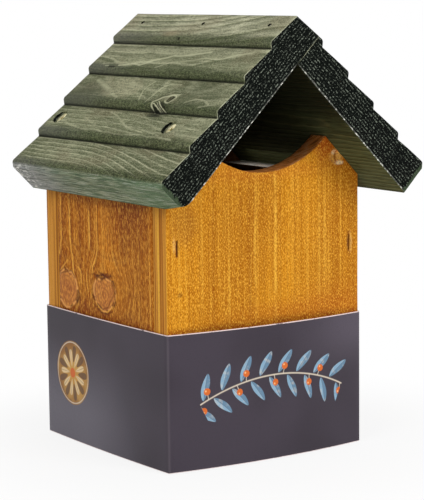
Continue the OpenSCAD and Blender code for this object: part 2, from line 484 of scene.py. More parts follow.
@dataclass(frozen=True)
class Streak:
    """A line of the grain that stands out, pale where its strength is above 0 and dark below."""

    points: tuple[Place, ...]
    width: float
    strength: float

    def coat(self, r: Recipe, places: tuple[Term, Term, Term], tints: tuple[Colour, Colour],
             share: Value) -> Coat:
        """Gives the line's colour and how much of it shows.

        Args:
            r: Recipe of the board.
            places: The two parts of the place, and how rough the line is there.
            tints: The pale and the dark colour.
            share: Share of the line's strength that is left.

        Returns:
            The coat.
        """
        across, up, rough = places
        away = r.away(across, up, self.points) + rough * 0.9
        shown = away.step(self.width * 1.35, 0.0) * abs(self.strength)
        return tints[self.strength < 0], shown * share


@dataclass(frozen=True)
class WallFinish:
    """Oiled stain on a wall board: its colours, its growth, its marks, and painted shade under the roof,
    above the sleeve and inside.
    """

    name: str
    growth: Growth
    ground: Colour
    pale: Colour
    deep: Colour
    across_x: bool
    face: float
    end_colour: Colour = (186, 124, 78)
    edge_colour: Colour = (208, 142, 52)
    # Colour of the painted shade on the inside faces
    inner: Colour = (50, 34, 20)
    line_share: float = 0.7
    late_share: float = 0.35
    fleck_share: float = 0.55
    stripe_share: float = 0.4
    lines: tuple[Point, ...] = ()
    marks: tuple[Mark, ...] = ()
    streaks: tuple[Streak, ...] = ()
    gloss: float = 0.1
    # Strength of the painted shade under the roof
    eave_shade: float = 0.0
    # Height in millimetres of the top of the painted shade above the sleeve
    sleeve_shade_top: float = 84.0

    def stripes(self, r: Recipe, grain: Grain) -> list[Coat]:
        """Gives the coats of the board's own long stripes, each with its place, width and strength.

        Args:
            r: Recipe of the board.
            grain: Grain of the board.

        Returns:
            The coats.
        """
        coats = []
        for number, (at, width, strength) in enumerate(self.lines):
            sway = (r.noise(number, (1, 1, 0.02), r.join(number, 0.0, r.z), detail=1.0) - 0.5) * 3.0
            broken = r.noise(number, (1, 1, 0.05), r.join(number, 3.0, r.z)).step(0.3, 0.55)
            place = grain.bent + sway
            tint = self.pale if strength > 0 else self.deep
            coats.append((tint, place.peak(at, width) * broken * abs(strength)))
            if strength > 0.45:
                beside = place.peak(at - width * 1.3, width) * broken
                coats.append((self.deep, beside * (strength * 0.6)))
        return coats

    def knots(self, r: Recipe, grain: Grain, crack: Term) -> list[Coat]:
        """Gives the coats of the knots, and of the flecks between their wood and their rings.

        Args:
            r: Recipe of the board.
            grain: Grain of the board.
            crack: Where the knots' rims are open.

        Returns:
            The coats.
        """
        return [((206, 132, 70), grain.knot * 0.75),
                (self.pale, grain.fleck.step(0.5, 0.63) * self.fleck_share),
                (self.deep, grain.fleck.step(0.49, 0.36) * self.fleck_share),
                ((140, 70, 28), grain.knot * grain.knot_ring * 0.45),
                ((240, 172, 96), grain.knot_rim * (crack.inverse() * 0.7 + 0.1)),
                ((74, 24, 6), grain.knot_halo * (crack + 0.15) * 0.75),
                ((60, 20, 6), grain.knot_rim * crack * 0.5)]

    def material(self) -> bpy.types.Material:
        """Writes the finish as a material.

        Returns:
            The material.
        """
        r = Recipe(self.name)
        across, depth = (r.x, r.y) if self.across_x else (r.y, r.x)
        outwards, sideways = (r.facing[1], r.facing[0]) if self.across_x else r.facing[:2]
        grain = self.growth.grain(r, r.z, across, depth)
        stripe = r.noise(self.growth.seed + 8, (0.42, 1, 0.004), r.join(grain.bent, 0.0, r.z), 3.0, 0.7)
        coats = [(self.deep, grain.drift.step(0.44, 0.66) * 0.4), (self.deep, grain.late * self.late_share),
                 (self.pale, grain.line * self.line_share), (self.deep, grain.fibre.step(0.5, 0.72) * 0.4),
                 (self.deep, stripe.step(0.49, 0.36) * self.stripe_share),
                 (self.pale, stripe.step(0.53, 0.66) * self.stripe_share), *self.stripes(r, grain)]
        # Painted shade under the roof: patchy, darker and redder towards the roof slopes.
        if self.eave_shade:
            eave_shade_patches = r.noise(41, (0.06, 0.06, 0.03)).step(0.25, 0.6)
            coats.append(((186, 76, 8), (r.z + r.x.size()).step(206, 231) * eave_shade_patches * self.eave_shade))
        coats += [mark.coat(r, across, r.z) for mark in self.marks]
        # Painted shade: a patchy deep red-brown strip just above the sleeve's top.
        sleeve_shade_patches = r.noise(43, (0.12, 0.12, 0.3)).step(0.3, 0.6)
        sleeve_shade = r.z.step(self.sleeve_shade_top, self.sleeve_shade_top - 5) * r.z.step(self.sleeve_shade_top - 12, self.sleeve_shade_top - 6)
        coats.append(((128, 48, 4), sleeve_shade * (sleeve_shade_patches * 0.5 + 0.35)))
        crack = r.noise(5, 0.16).step(0.48, 0.56)
        coats += self.knots(r, grain, crack)
        uneven = r.noise(37, 0.6) - 0.5
        tints = (self.pale, (84, 30, 6))
        coats += [streak.coat(r, (across, r.z, uneven), tints, 0.8) for streak in self.streaks]
        edge = sideways.size().step(0.6, 0.85)
        strips = r.noise(17, (0.75, 1, 0.006), r.join(depth, 0.0, r.z))
        edge_colour = r.layers(self.edge_colour, (self.deep, strips.step(0.5, 0.36) * 0.75),
                               (self.pale, strips.step(0.54, 0.68) * 0.8),
                               (self.deep, grain.fleck.step(0.46, 0.3) * 0.4))
        ends = r.facing[2].size().step(0.35, 0.6)
        saw = r.noise(9, (0.7, 0.12, 0.2), r.join(r.x + r.y, r.x - r.y, r.z), detail=3.0)
        cuts = ((r.x + r.y) * 0.55 + saw * 0.8).share().peak(0.5, 0.32)
        end_colour = r.layers(self.end_colour, ((58, 22, 8), saw.step(0.48, 0.38) * 0.6),
                              ((236, 190, 140), saw.step(0.54, 0.62) * 0.5), ((70, 26, 6), cuts * 0.65))
        colour = r.layers(self.ground, *coats, (edge_colour, edge), (end_colour, ends))
        # Painted shade: the inside faces are darkened towards the inner colour.
        inside = (outwards * math.copysign(1.0, self.face)).step(-0.3, -0.7) * edge.inverse()
        colour = r.layers(colour, (r.layers(self.inner, (colour, 0.25)), inside * ends.inverse()))
        height = grain.fibre * 0.5 + grain.fleck * 0.35 - grain.line * 0.3 + ends * saw
        height = height + grain.knot * 0.3 - grain.knot_rim * crack * 1.2
        return r.finish(colour, grain.fleck * 0.2 + 0.5, height, 0.22, specular=self.gloss)


# Lines that the grain draws on the left wall, as places along y and up the wall
REAR_KNOT_LINES = (
    Streak(((70, 99), (67, 101), (54, 104), (50, 100)), 0.7, -0.7),
    Streak(((58, 110), (67, 103)), 0.7, 0.7),
    Streak(((46, 107), (43, 105), (42, 98)), 0.9, 0.9),
)
FRONT_KNOT_TOP_LINES = (
    Streak(((31, 112), (28, 106)), 0.7, 0.6),
    Streak(((27, 105), (19, 103), (8, 106)), 0.9, -0.8),
    Streak(((22, 107), (7, 103)), 0.8, -0.7),
    Streak(((20, 101), (12, 107)), 0.7, -0.6),
)
FRONT_KNOT_FOOT_LINES = (
    Streak(((28, 87), (20, 83), (13, 83), (7, 85)), 0.7, -0.7),
    Streak(((27, 89), (19, 84), (13, 84), (6, 88)), 0.6, 0.6),
    Streak(((24, 88), (18, 85), (12, 87), (3, 98)), 0.7, -0.7),
)

# Lines on the left slope, as places down the slope and along y: the knot's eye
EYE_LINES = (
    Streak(((50, -27), (51, -30), (51, -32), (46, -34), (45, -30), (46, -27), (50, -27)), 0.7, 0.8),
    Streak(((48, -31), (46.5, -32)), 0.7, -1),
)
# The grain that sweeps down beside the eye
SWEEP_LINES = (
    Streak(((51, 0), (48, 3), (44, 5), (39, 5), (35, 2)), 0.8, 0.6),
    Streak(((52, -9), (43, -10), (38, -12), (36, -16), (36, -26)), 0.8, 0.7),
    Streak(((51, -6), (41, -7)), 0.6, -0.5),
    Streak(((52, -13), (46, -22), (45, -25)), 0.7, -0.6),
    Streak(((55, -18), (52, -16), (47, -23), (45, -28), (44, -35)), 0.9, 0.8),
)
# The close lines on the nose below the eye
CLOSE_LINES = (
    Streak(((53, -18), (57, -28)), 0.5, 0.95),
    Streak(((51, -21), (57, -33)), 0.5, 0.95),
    Streak(((55, -18), (58, -22)), 0.4, 0.8),
    Streak(((52, -20), (57, -30)), 0.4, 0.6),
)
# The flame in front of the eye, and the pale edge behind it
FLAME_LINES = (
    Streak(((51, -47), (48, -53), (48.5, -63), (51, -71)), 0.9, 0.6),
    Streak(((53, -64), (51, -77)), 0.7, 0.45),
    Streak(((37, 65), (41, 53), (47, 37)), 1.8, 0.5),
    Streak(((48, 33), (50, 26), (52, 26)), 1.2, 0.6),
)
# The long lines of the fourth course
FOURTH_COURSE_LINES = (
    Streak(((60, 23), (67, 2), (73, -20), (75, -28)), 0.7, 0.6),
    Streak(((59, -8), (66, -25), (73, -50)), 0.7, 0.35),
    Streak(((71, 68), (75, 40), (77, -1), (77, -61)), 0.9, 0.55),
    Streak(((67, 45), (72, 26)), 0.7, 0.4),
)
# The long lines of the second course, and the dent at its back end
SECOND_COURSE_LINES = (
    Streak(((25, 71), (23, 42), (23, 30), (19, 13)), 0.7, 0.5),
    Streak(((26, 50), (24, 35), (25, 29), (20, 18), (16, 4), (11, -32)), 1, 0.75),
    Streak(((27, 10), (21, -2), (17, -27), (16, -42), (10, -71)), 0.8, 0.6),
    Streak(((28, 60), (28, 54)), 1, -0.95),
    Streak(((27, 66), (27, 62)), 0.6, 0.7),
)


@dataclass
class Slope:
    """The places on a roof board that its stain is written on, and what they all share."""

    r: Recipe
    run: Term
    rise: Term
    grain: Grain
    course: Term
    fine: Term
    soil: Term


@dataclass(frozen=True)
class RoofFinish:
    """Green stain on a roof board, worn pale on the ridges of its grain."""

    name: str
    side: Side
    sizes: "RoofSizes"
    growth: Growth
    ground: Colour = (142, 145, 113)
    pale: Colour = (204, 204, 168)
    deep: Colour = (76, 84, 56)
    blotches: tuple[tuple[float, float, float, float], ...] = ()
    spots: tuple[Mark, ...] = ()
    streaks: tuple[Streak, ...] = ()

    def slope(self, r: Recipe) -> Slope:
        """Writes the places on the board: down its slope, out of it, and in courses from the ridge.

        Args:
            r: Recipe of the board.

        Returns:
            The places.
        """
        across = r.x * self.side.value
        drop = r.z - self.sizes.ridge_under / MM
        run = across * math.cos(SLOPE) - drop * math.sin(SLOPE)
        rise = across * math.sin(SLOPE) + drop * math.cos(SLOPE)
        course = (run + self.sizes.first_run / MM) / (self.sizes.course / MM)
        return Slope(r, run, rise, self.growth.grain(r, r.y, run, rise), course,
                     r.noise(11, (1.7, 0.08, 1.7), r.join(run, r.y, rise), detail=3.0),
                     r.noise(14, (0.8, 0.55, 0.8), detail=3.0, rough=0.65))

    def faces(self, at: Slope) -> Socket:
        """Gives the colour of the courses' faces: their tones, their grain, their soil and the knot, with
        painted light that is paler near the ridge and darker down the slope.

        Args:
            at: Places on the board.

        Returns:
            The colour.
        """
        r, grain, course, soil = at.r, at.grain, at.course, at.soil
        cloud = r.noise(12, (0.035, 0.02, 0.035), detail=3.0)
        tone = r.noise(16, (0.05, 0.03, 0.05))
        quiet = (course.step(1.85, 2.05) * course.step(4.1, 3.95) * 0.45).inverse()
        # The first two coats are painted light: paler near the ridge and darker down the slope.
        coats = [((214, 212, 180), course.step(1.8, 0.5)), (self.deep, course.step(1.5, 5.0) * 0.3),
                 (self.deep, r.y.step(0, -80) * course.step(1.6, 2.6) * 0.3),
                 ((164, 154, 132), r.y.step(30, 80) * course.step(2.2, 0.8) * 0.4),
                 (self.deep, cloud.step(0.48, 0.64) * 0.5), (self.pale, cloud.step(0.46, 0.34) * 0.25),
                 (self.deep, grain.late * quiet * 0.8), (self.pale, grain.line * quiet * 0.85)]
        for at_run, at_y, long, wide in self.blotches:
            shape = ((r.y - at_y) / long).apply("POWER", 2.0)
            shape = shape + ((at.run - at_run) / wide).apply("POWER", 2.0)
            coats.append(((172, 168, 136), (shape + (cloud - 0.5) * 3.0).step(1.1, 0.8) * 0.55))
        return r.layers(self.ground, *coats, (self.deep, at.fine.step(0.52, 0.68) * 0.6),
                        (self.pale, at.fine.step(0.48, 0.34) * 0.36),
                        ((128, 116, 90), tone.step(0.5, 0.68) * 0.4),
                        ((54, 58, 38), soil.step(0.54, 0.66) * 0.42),
                        (self.pale, soil.step(0.45, 0.34) * 0.25),
                        ((58, 64, 42), grain.fleck.step(0.5, 0.36) * 0.55),
                        (self.pale, grain.fleck.step(0.52, 0.66) * 0.3), ((104, 100, 70), grain.knot * 0.5),
                        ((20, 18, 10), grain.knot * grain.knot_ring * 0.85),
                        ((210, 208, 170), grain.knot_halo * 0.75))

    def drawn(self, at: Slope, colour: Socket) -> Socket:
        """Draws the painted shade on the noses and lips, the board's own spots and lines, the painted shadow
        line at each lip's foot and the front arris.

        Args:
            at: Places on the board.
            colour: Colour of the courses' faces.

        Returns:
            The colour with all of them.
        """
        r, run, rise, soil = at.r, at.run, at.rise, at.soil
        uneven = r.noise(37, 0.5) - 0.5
        bent_run = run + (r.noise(51, (0.09, 0.06, 0.09), detail=1.0) - 0.5) * 4
        bent_y = r.y + (r.noise(52, (0.09, 0.06, 0.09), detail=1.0) - 0.5) * 5
        faded = r.noise(53, (0.14, 0.1, 0.14)).step(0.3, 0.6) * 0.55 + 0.3
        phase = at.course.share()
        # Painted shade on the rounded noses and on the lips below them, darker green with speckles.
        nose = phase.step(0.72, 0.94) + phase.step(0.12, 0.09)
        nose_shade_colour = r.layers((52, 62, 37), ((104, 113, 76), at.grain.fleck.step(0.46, 0.6)),
                               ((22, 26, 16), soil.step(0.48, 0.6) * 0.7),
                               ((104, 102, 100), r.y.step(20, 80) * 0.5))
        coats = [(nose_shade_colour, nose * 0.8), *(spot.coat(r, run, r.y) for spot in self.spots)]
        for streak in self.streaks:
            share = faded if abs(streak.strength) < 0.75 else 0.9
            coats.append(streak.coat(r, (bent_run, bent_y, uneven), (self.pale, (26, 26, 16)), share))
        front = self.sizes.front / MM
        chipped = r.noise(21, (0.16, 1, 0.16), r.join(run, 0.0, rise), detail=3.0).step(0.42, 0.6)
        arris = r.y.step(front + 1.0, front + 0.4) * (chipped + 0.1)
        # Painted shadow line at each lip's foot, then the worn pale front arris.
        return r.layers(colour, *coats, ((8, 11, 6), phase.peak(0.1, 0.05) * 0.9),
                        ((196, 198, 168), arris * 0.75))

    def eave(self, at: Slope) -> Socket:
        """Gives the colour of the eave's face, greener to the front and torn pale at the back.

        Args:
            at: Places on the board.

        Returns:
            The colour.
        """
        r, back = at.r, self.sizes.back / MM
        streak = r.noise(23, (1.6, 0.07, 1.6), r.join(at.rise, r.y, at.run))
        torn = r.noise(19, (0.4, 0.3, 0.4), detail=3.0).step(0.52, 0.62)
        return r.layers((146, 152, 124), ((76, 102, 72), at.fine.step(0.4, 0.6) * 0.8),
                        ((92, 122, 88), r.y.step(-15, -70) * 0.5), ((168, 164, 170), r.y.step(10, 78) * 0.7),
                        ((70, 80, 64), streak.step(0.5, 0.64) * 0.7),
                        ((176, 180, 166), streak.step(0.46, 0.34) * 0.6),
                        ((58, 68, 52), at.grain.fleck.step(0.5, 0.36) * 0.5),
                        ((232, 230, 222), torn * r.y.step(back - 26, back - 4) * 0.8))

    def under(self, at: Slope) -> Socket:
        """Gives the colour of the board's underside, with painted shade that darkens it towards the ridge.

        Args:
            at: Places on the board.

        Returns:
            The colour.
        """
        return at.r.layers((88, 94, 60), ((132, 128, 84), at.grain.line * 0.6),
                           ((44, 42, 18), at.grain.late * 0.45),
                           ((36, 34, 14), at.fine.step(0.5, 0.66) * 0.6),
                           # Painted shade towards the ridge
                           ((6, 8, 4), at.run.step(80, 30) * 0.88))

    def sawn(self, at: Slope, pores: Term) -> Socket:
        """Gives the colour of the sawn ends: near black, with pale specks in rows and a pale broken rim that
        is partly torn fibres and partly painted highlight.

        Args:
            at: Places on the board.
            pores: Noise of the timber's pores.

        Returns:
            The colour.
        """
        r, run, rise, last = at.r, at.run, at.rise, self.sizes.courses
        torn = r.noise(29, 0.55, detail=3.0) - 0.5
        rows = (rise * 0.55 + pores * 0.5).share().peak(0.5, 0.4)
        speck = r.noise(25, (1.2, 1.6, 0.5), r.join(run, rise, r.y), detail=1.0)
        bright = speck.step(0.52, 0.66) * rows * (at.grain.late * 0.4 + 0.6)
        dots = r.noise(27, 0.5).step(0.5, 0.64)
        # A pale broken rim along the lower edge: partly torn fibres, partly painted highlight.
        rim = rise.step(1.1, 0.3) * run.step(-1, 3) * (dots + 0.12)
        spill = (at.course + torn * 0.22).step(last - 0.02, last + 0.03) * (rise + torn * 5).step(0.0, 1.0)
        return r.layers((4, 8, 5), ((3, 5, 4), pores.step(0.52, 0.38) * 0.8), ((170, 180, 162), bright * 0.6),
                        ((236, 236, 224), rim * 0.9), ((70, 84, 62), spill * 0.8))

    def material(self) -> bpy.types.Material:
        """Writes the finish as a material.

        Returns:
            The material.
        """
        r = Recipe(self.name)
        at = self.slope(r)
        grain, fine, last = at.grain, at.fine, self.sizes.courses
        ends = r.facing[1].size().step(0.4, 0.7)
        pores = r.noise(15, (0.8, 1.6, 0.4), r.join(at.run, at.rise, r.y), detail=3.0, rough=0.7)
        colour = r.layers(self.drawn(at, self.faces(at)),
                          (self.eave(at), at.course.step(last - 0.01, last + 0.06)),
                          (self.under(at), at.rise.step(0.9, 0.3)), (self.sawn(at, pores), ends))
        height = grain.line * 0.45 + fine * 0.4 + grain.fibre * 0.35 - grain.knot * grain.knot_ring
        height = r.math("MULTIPLY_ADD", ends, pores * 1.6, height * ends.inverse())
        return r.finish(colour, fine * 0.15 + 0.6, height, 0.4, specular=0.05)


@dataclass(frozen=True)
class MetalFinish:
    """Plated or bright metal with fine scratches and a little tarnish."""

    name: str
    ground: Colour
    tarnish: Colour
    rough: float = 0.32
    metallic: float = 1.0

    def material(self) -> bpy.types.Material:
        """Writes the finish as a material.

        Returns:
            The material.
        """
        r = Recipe(self.name)
        cloud = r.noise(3, 0.6, detail=4.0)
        scratch = r.noise(4, (9, 2, 9))
        colour = r.layers(self.ground, (self.tarnish, cloud.step(0.48, 0.68) * 0.7))
        return r.finish(colour, scratch * 0.2 + self.rough, scratch, 0.02, metallic=self.metallic)


@dataclass(frozen=True)
class CardFinish:
    """Printed card: a charcoal coat with a sprig on its front and a medallion on its left side."""

    name: str
    sizes: "SleeveSizes"
    coat: Colour = (54, 47, 56)
    coat_pale: Colour = (78, 70, 82)
    leaf: Colour = (132, 166, 190)
    leaf_deep: Colour = (84, 116, 142)
    berry: Colour = (210, 104, 40)
    cream: Colour = (222, 208, 188)
    ochre: Colour = (192, 138, 56)
    edge: Colour = (236, 216, 214)
    medallion: Place = (51.6, 42.0)
    medallion_radius: float = 19.5
    stem: Place = (2.0, -62.0)
    stem_radius: float = 112.0
    stem_half: float = 52.6
    leaf_step: float = 13.0

    def rosette(self, r: Recipe) -> Coat:
        """Draws a round medallion of two rings of petals on the left side.

        Args:
            r: Recipe of the card.

        Returns:
            The medallion's colour and where it shows.
        """
        u, v = r.y - self.medallion[0], r.z - self.medallion[1]
        angle = r.math("ARCTAN2", v, u)
        reach = u.reach(v) / self.medallion_radius
        wash = r.noise(33, 0.08)
        coats = [((118, 74, 34), reach.step(0.3, 1.0) * 0.8), ((216, 170, 92), wash.step(0.45, 0.65) * 0.5)]
        for outer, inner, turn, tint in ((0.88, 0.34, 0.0, (94, 66, 44)), (0.74, 0.2, 0.5, (232, 206, 160))):
            swing = ((angle * (9 / math.tau) + turn).share() - 0.5).size() * 2
            middle = (reach - inner) / (outer - inner)
            width = (middle * middle.inverse()).most(0.0).apply("POWER", 0.5) * 1.7
            petal = (swing - width * 0.55).step(0.06, -0.06) * reach.step(outer, outer - 0.02)
            coats += [(tint, petal * 0.85), ((120, 84, 48), petal * swing.step(0.1, 0.0) * 0.6)]
        colour = r.layers(self.ochre, *coats, (self.berry, reach.step(0.17, 0.14)),
                          (self.cream, reach.peak(0.955, 0.03) * 0.9))
        return colour, (-r.facing[0]).step(0.6, 0.8) * reach.step(1.02, 0.98)

    def sprig(self, r: Recipe, front: Term) -> list[Coat]:
        """Draws an arching sprig of leaves and berries on the front.

        Args:
            r: Recipe of the card.
            front: Where the card's front is.

        Returns:
            The coats.
        """
        u, v = r.x - self.stem[0], r.z - self.stem[1]
        reach = u.reach(v) - self.stem_radius
        along = r.math("ARCTAN2", u, v) * self.stem_radius
        end, pace = self.stem_half, self.leaf_step
        shown = along.step(-end, 0.4 - end) * along.step(end, end - 0.4) * front
        wash = r.noise(34, 0.3, detail=3.0)
        coats = [(self.cream, reach.peak(0.0, 0.75) * shown * 0.9)]
        for sign, shift in ((1.0, 0.0), (-1.0, pace / 2)):
            cell = ((along + shift) / pace).share() * pace - pace / 2
            out = reach * sign - 7.4
            lean = cell - out * 0.62
            oval = (out / 6.6).size().apply("POWER", 1.7) + (lean / 2.9).size().apply("POWER", 1.4)
            leaf = oval.step(1.03, 0.95) * shown
            tint = r.layers(self.leaf, (self.leaf_deep, lean.step(-0.3, 0.5) * 0.75),
                            (self.cream, wash.step(0.5, 0.68) * 0.35))
            cell = ((along + shift + pace / 2) / (pace * 2)).share() * (pace * 2) - pace
            out = reach * sign - 4.6
            stalk = (cell - out * 0.2).peak(0.0, 0.45) * out.step(0.0, -0.4) * out.step(-4.8, -4.5)
            coats += [(tint, leaf), (self.coat, leaf * lean.peak(0.0, 0.28) * 0.8),
                      (self.cream, stalk * shown * 0.8),
                      (self.berry, out.reach(cell).step(2.15, 1.95) * shown),
                      ((246, 190, 132), (out - 0.7).reach(cell + 0.6).step(0.75, 0.45) * shown * 0.8)]
        return coats

    def material(self) -> bpy.types.Material:
        """Writes the finish as a material.

        Returns:
            The material.
        """
        r = Recipe(self.name)
        sizes = self.sizes
        front, left = (-r.facing[1]).step(0.6, 0.8), (-r.facing[0]).step(0.6, 0.8)
        top, bottom = sizes.top / MM, sizes.bottom / MM
        fibre = r.noise(2, 1.4, detail=3.0)
        cloud = r.noise(6, 0.02, detail=1.0)
        worn = r.noise(8, 0.25, detail=3.0).step(0.25, 0.4)
        rim = r.z.step(top - 0.6, top - 0.35).most(r.z.step(bottom + 0.4, bottom + 0.15))
        crease = ((r.x.size() - sizes.half_width / MM).size().step(1.4, 0.2)
                  * (r.y - sizes.front / MM).size().step(1.4, 0.2))
        colour = r.layers(self.coat, (self.coat_pale, cloud.step(0.35, 0.65) * 0.3),
                          # Painted sheen: lighter towards the lower back of the left side and towards the
                          # upper right of the front.
                          ((112, 108, 118), left * r.z.step(66, 14) * r.y.step(-40, 40) * 0.75),
                          ((96, 88, 100), front * r.x.step(5, 66) * r.z.step(40, 72) * 0.6),
                          ((36, 33, 38), fibre.step(0.5, 0.75) * 0.2), *self.sprig(r, front), self.rosette(r),
                          (self.edge, r.facing[2].size().step(0.5, 0.8).most(rim * worn)),
                          ((112, 104, 110), crease * 0.3))
        return r.finish(colour, fibre * 0.1 + 0.42, fibre, 0.03, specular=0.22)


@dataclass(frozen=True)
class BoxSizes:
    """Sizes of the box's boards, in metres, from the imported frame."""

    half_width: float
    front: float
    back: float
    board: float
    shoulder: float
    ridge_under: float
    scoop_radius: float = 0.0602
    scoop_low: float = 0.1668
    arris: float = 0.0006
    grid: float = 0.0035

    @classmethod
    def read(cls) -> "BoxSizes":
        """Reads the sizes from the front and back boards of the frame.

        Returns:
            The box's sizes.
        """
        low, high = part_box("front_panel")
        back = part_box("back_panel")[1]
        return cls(high.x, low.y, back.y, high.y - low.y, back.z - high.x * math.tan(SLOPE), back.z)


@dataclass(frozen=True)
class RoofSizes:
    """Sizes of the roof, in metres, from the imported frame."""

    ridge_under: float
    front: float
    back: float
    thickness: float = 0.022
    course: float = 0.0256
    courses: int = 5
    lip: float = 0.004
    undercut: float = 0.0005
    nose_radius: float = 0.0022
    nose_angle: float = 120
    screw_run: float = 0.068
    counterbore: float = 0.0052
    screw_head: float = 0.0085
    screw_sink: float = 0.0018
    nail_head: float = 0.0026
    arris: float = 0.0005
    grid: float = 0.0032

    @classmethod
    def read(cls) -> "RoofSizes":
        """Reads the sizes from the roof boards and the back board of the frame."""
        low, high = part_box("left_roof_board")
        return cls(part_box("back_panel")[1].z, low.y, high.y)

    @property
    def first_run(self) -> float:
        """Distance of the sharp top ridge up the slope from the ridge's underside."""
        return self.thickness * math.tan(SLOPE)

    def slope_point(self, run: float, rise: float) -> Vector:
        """Gives a point of the right slope in the plane of x and z.

        Args:
            run: Distance down the slope from the ridge's underside.
            rise: Height square to the slope's underside.

        Returns:
            The point, with y at 0.
        """
        x = run * math.cos(SLOPE) + rise * math.sin(SLOPE)
        z = self.ridge_under - run * math.sin(SLOPE) + rise * math.cos(SLOPE)
        return Vector((x, 0, z))

    def run_of(self, point: Vector) -> float:
        """Gives a point's run down the right slope."""
        return point.x * math.cos(SLOPE) - (point.z - self.ridge_under) * math.sin(SLOPE)

    def rise_of(self, point: Vector) -> float:
        """Gives a point's height over the right slope's underside."""
        return point.x * math.sin(SLOPE) + (point.z - self.ridge_under) * math.cos(SLOPE)

    def nose(self, number: int) -> Vector:
        """Gives the sharp nose of a course, counted from the ridge."""
        return self.slope_point(number * self.course - self.first_run, self.thickness)

    def foot(self, number: int) -> Vector:
        """Gives the foot of the lip under a course's nose."""
        return self.nose(number) - Vector((self.undercut, 0, self.lip))

    def face_rise(self, run: float) -> float:
        """Gives the height of the roof's face over its underside at a run down the slope.

        Args:
            run: Distance down the slope.

        Returns:
            The height.
        """
        number = math.ceil((run + self.first_run) / self.course)
        start, end = self.foot(number - 1), self.nose(number)
        share = (run - self.run_of(start)) / (self.run_of(end) - self.run_of(start))
        return self.rise_of(start) + share * (self.rise_of(end) - self.rise_of(start))

    def seam_run(self) -> float:
        """Gives how far the butt joint rises square to the slope's underside.

        Returns:
            Distance in metres.
        """
        start, end = self.foot(0), self.nose(1)
        fall = (end.z - start.z) / (end.x - start.x)
        return (start.z - start.x * fall - self.ridge_under) / (math.tan(SLOPE) - fall)


@dataclass(frozen=True)
class SleeveSizes:
    """Sizes of the card sleeve, in metres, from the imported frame."""

    half_width: float
    front: float
    back: float
    bottom: float
    top: float
    card: float = 0.0005
    gap: float = 0.0003
    bow_front: float = 0.0055
    bow_side: float = 0.0015
    corner: float = 0.0009
    lap: float = 0.018
    grid: float = 0.004

    @classmethod
    def read(cls) -> "SleeveSizes":
        """Reads the sizes from the sleeve of the frame.

        Returns:
            The sleeve's sizes.
        """
        low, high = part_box("card_sleeve")
        box, off = BoxSizes.read(), cls.card + cls.gap
        return cls(box.half_width + off, box.front - off, high.y, low.z, high.z)


def placed(name: str, data: bpy.types.ID) -> bpy.types.Object:
    """Makes an object of its data and puts it into the scene.

    Args:
        name: Name of the object.
        data: What the object shows.

    Returns:
        The object.
    """
    made = bpy.data.objects.new(name, data)
    bpy.context.scene.collection.objects.link(made)
    return made


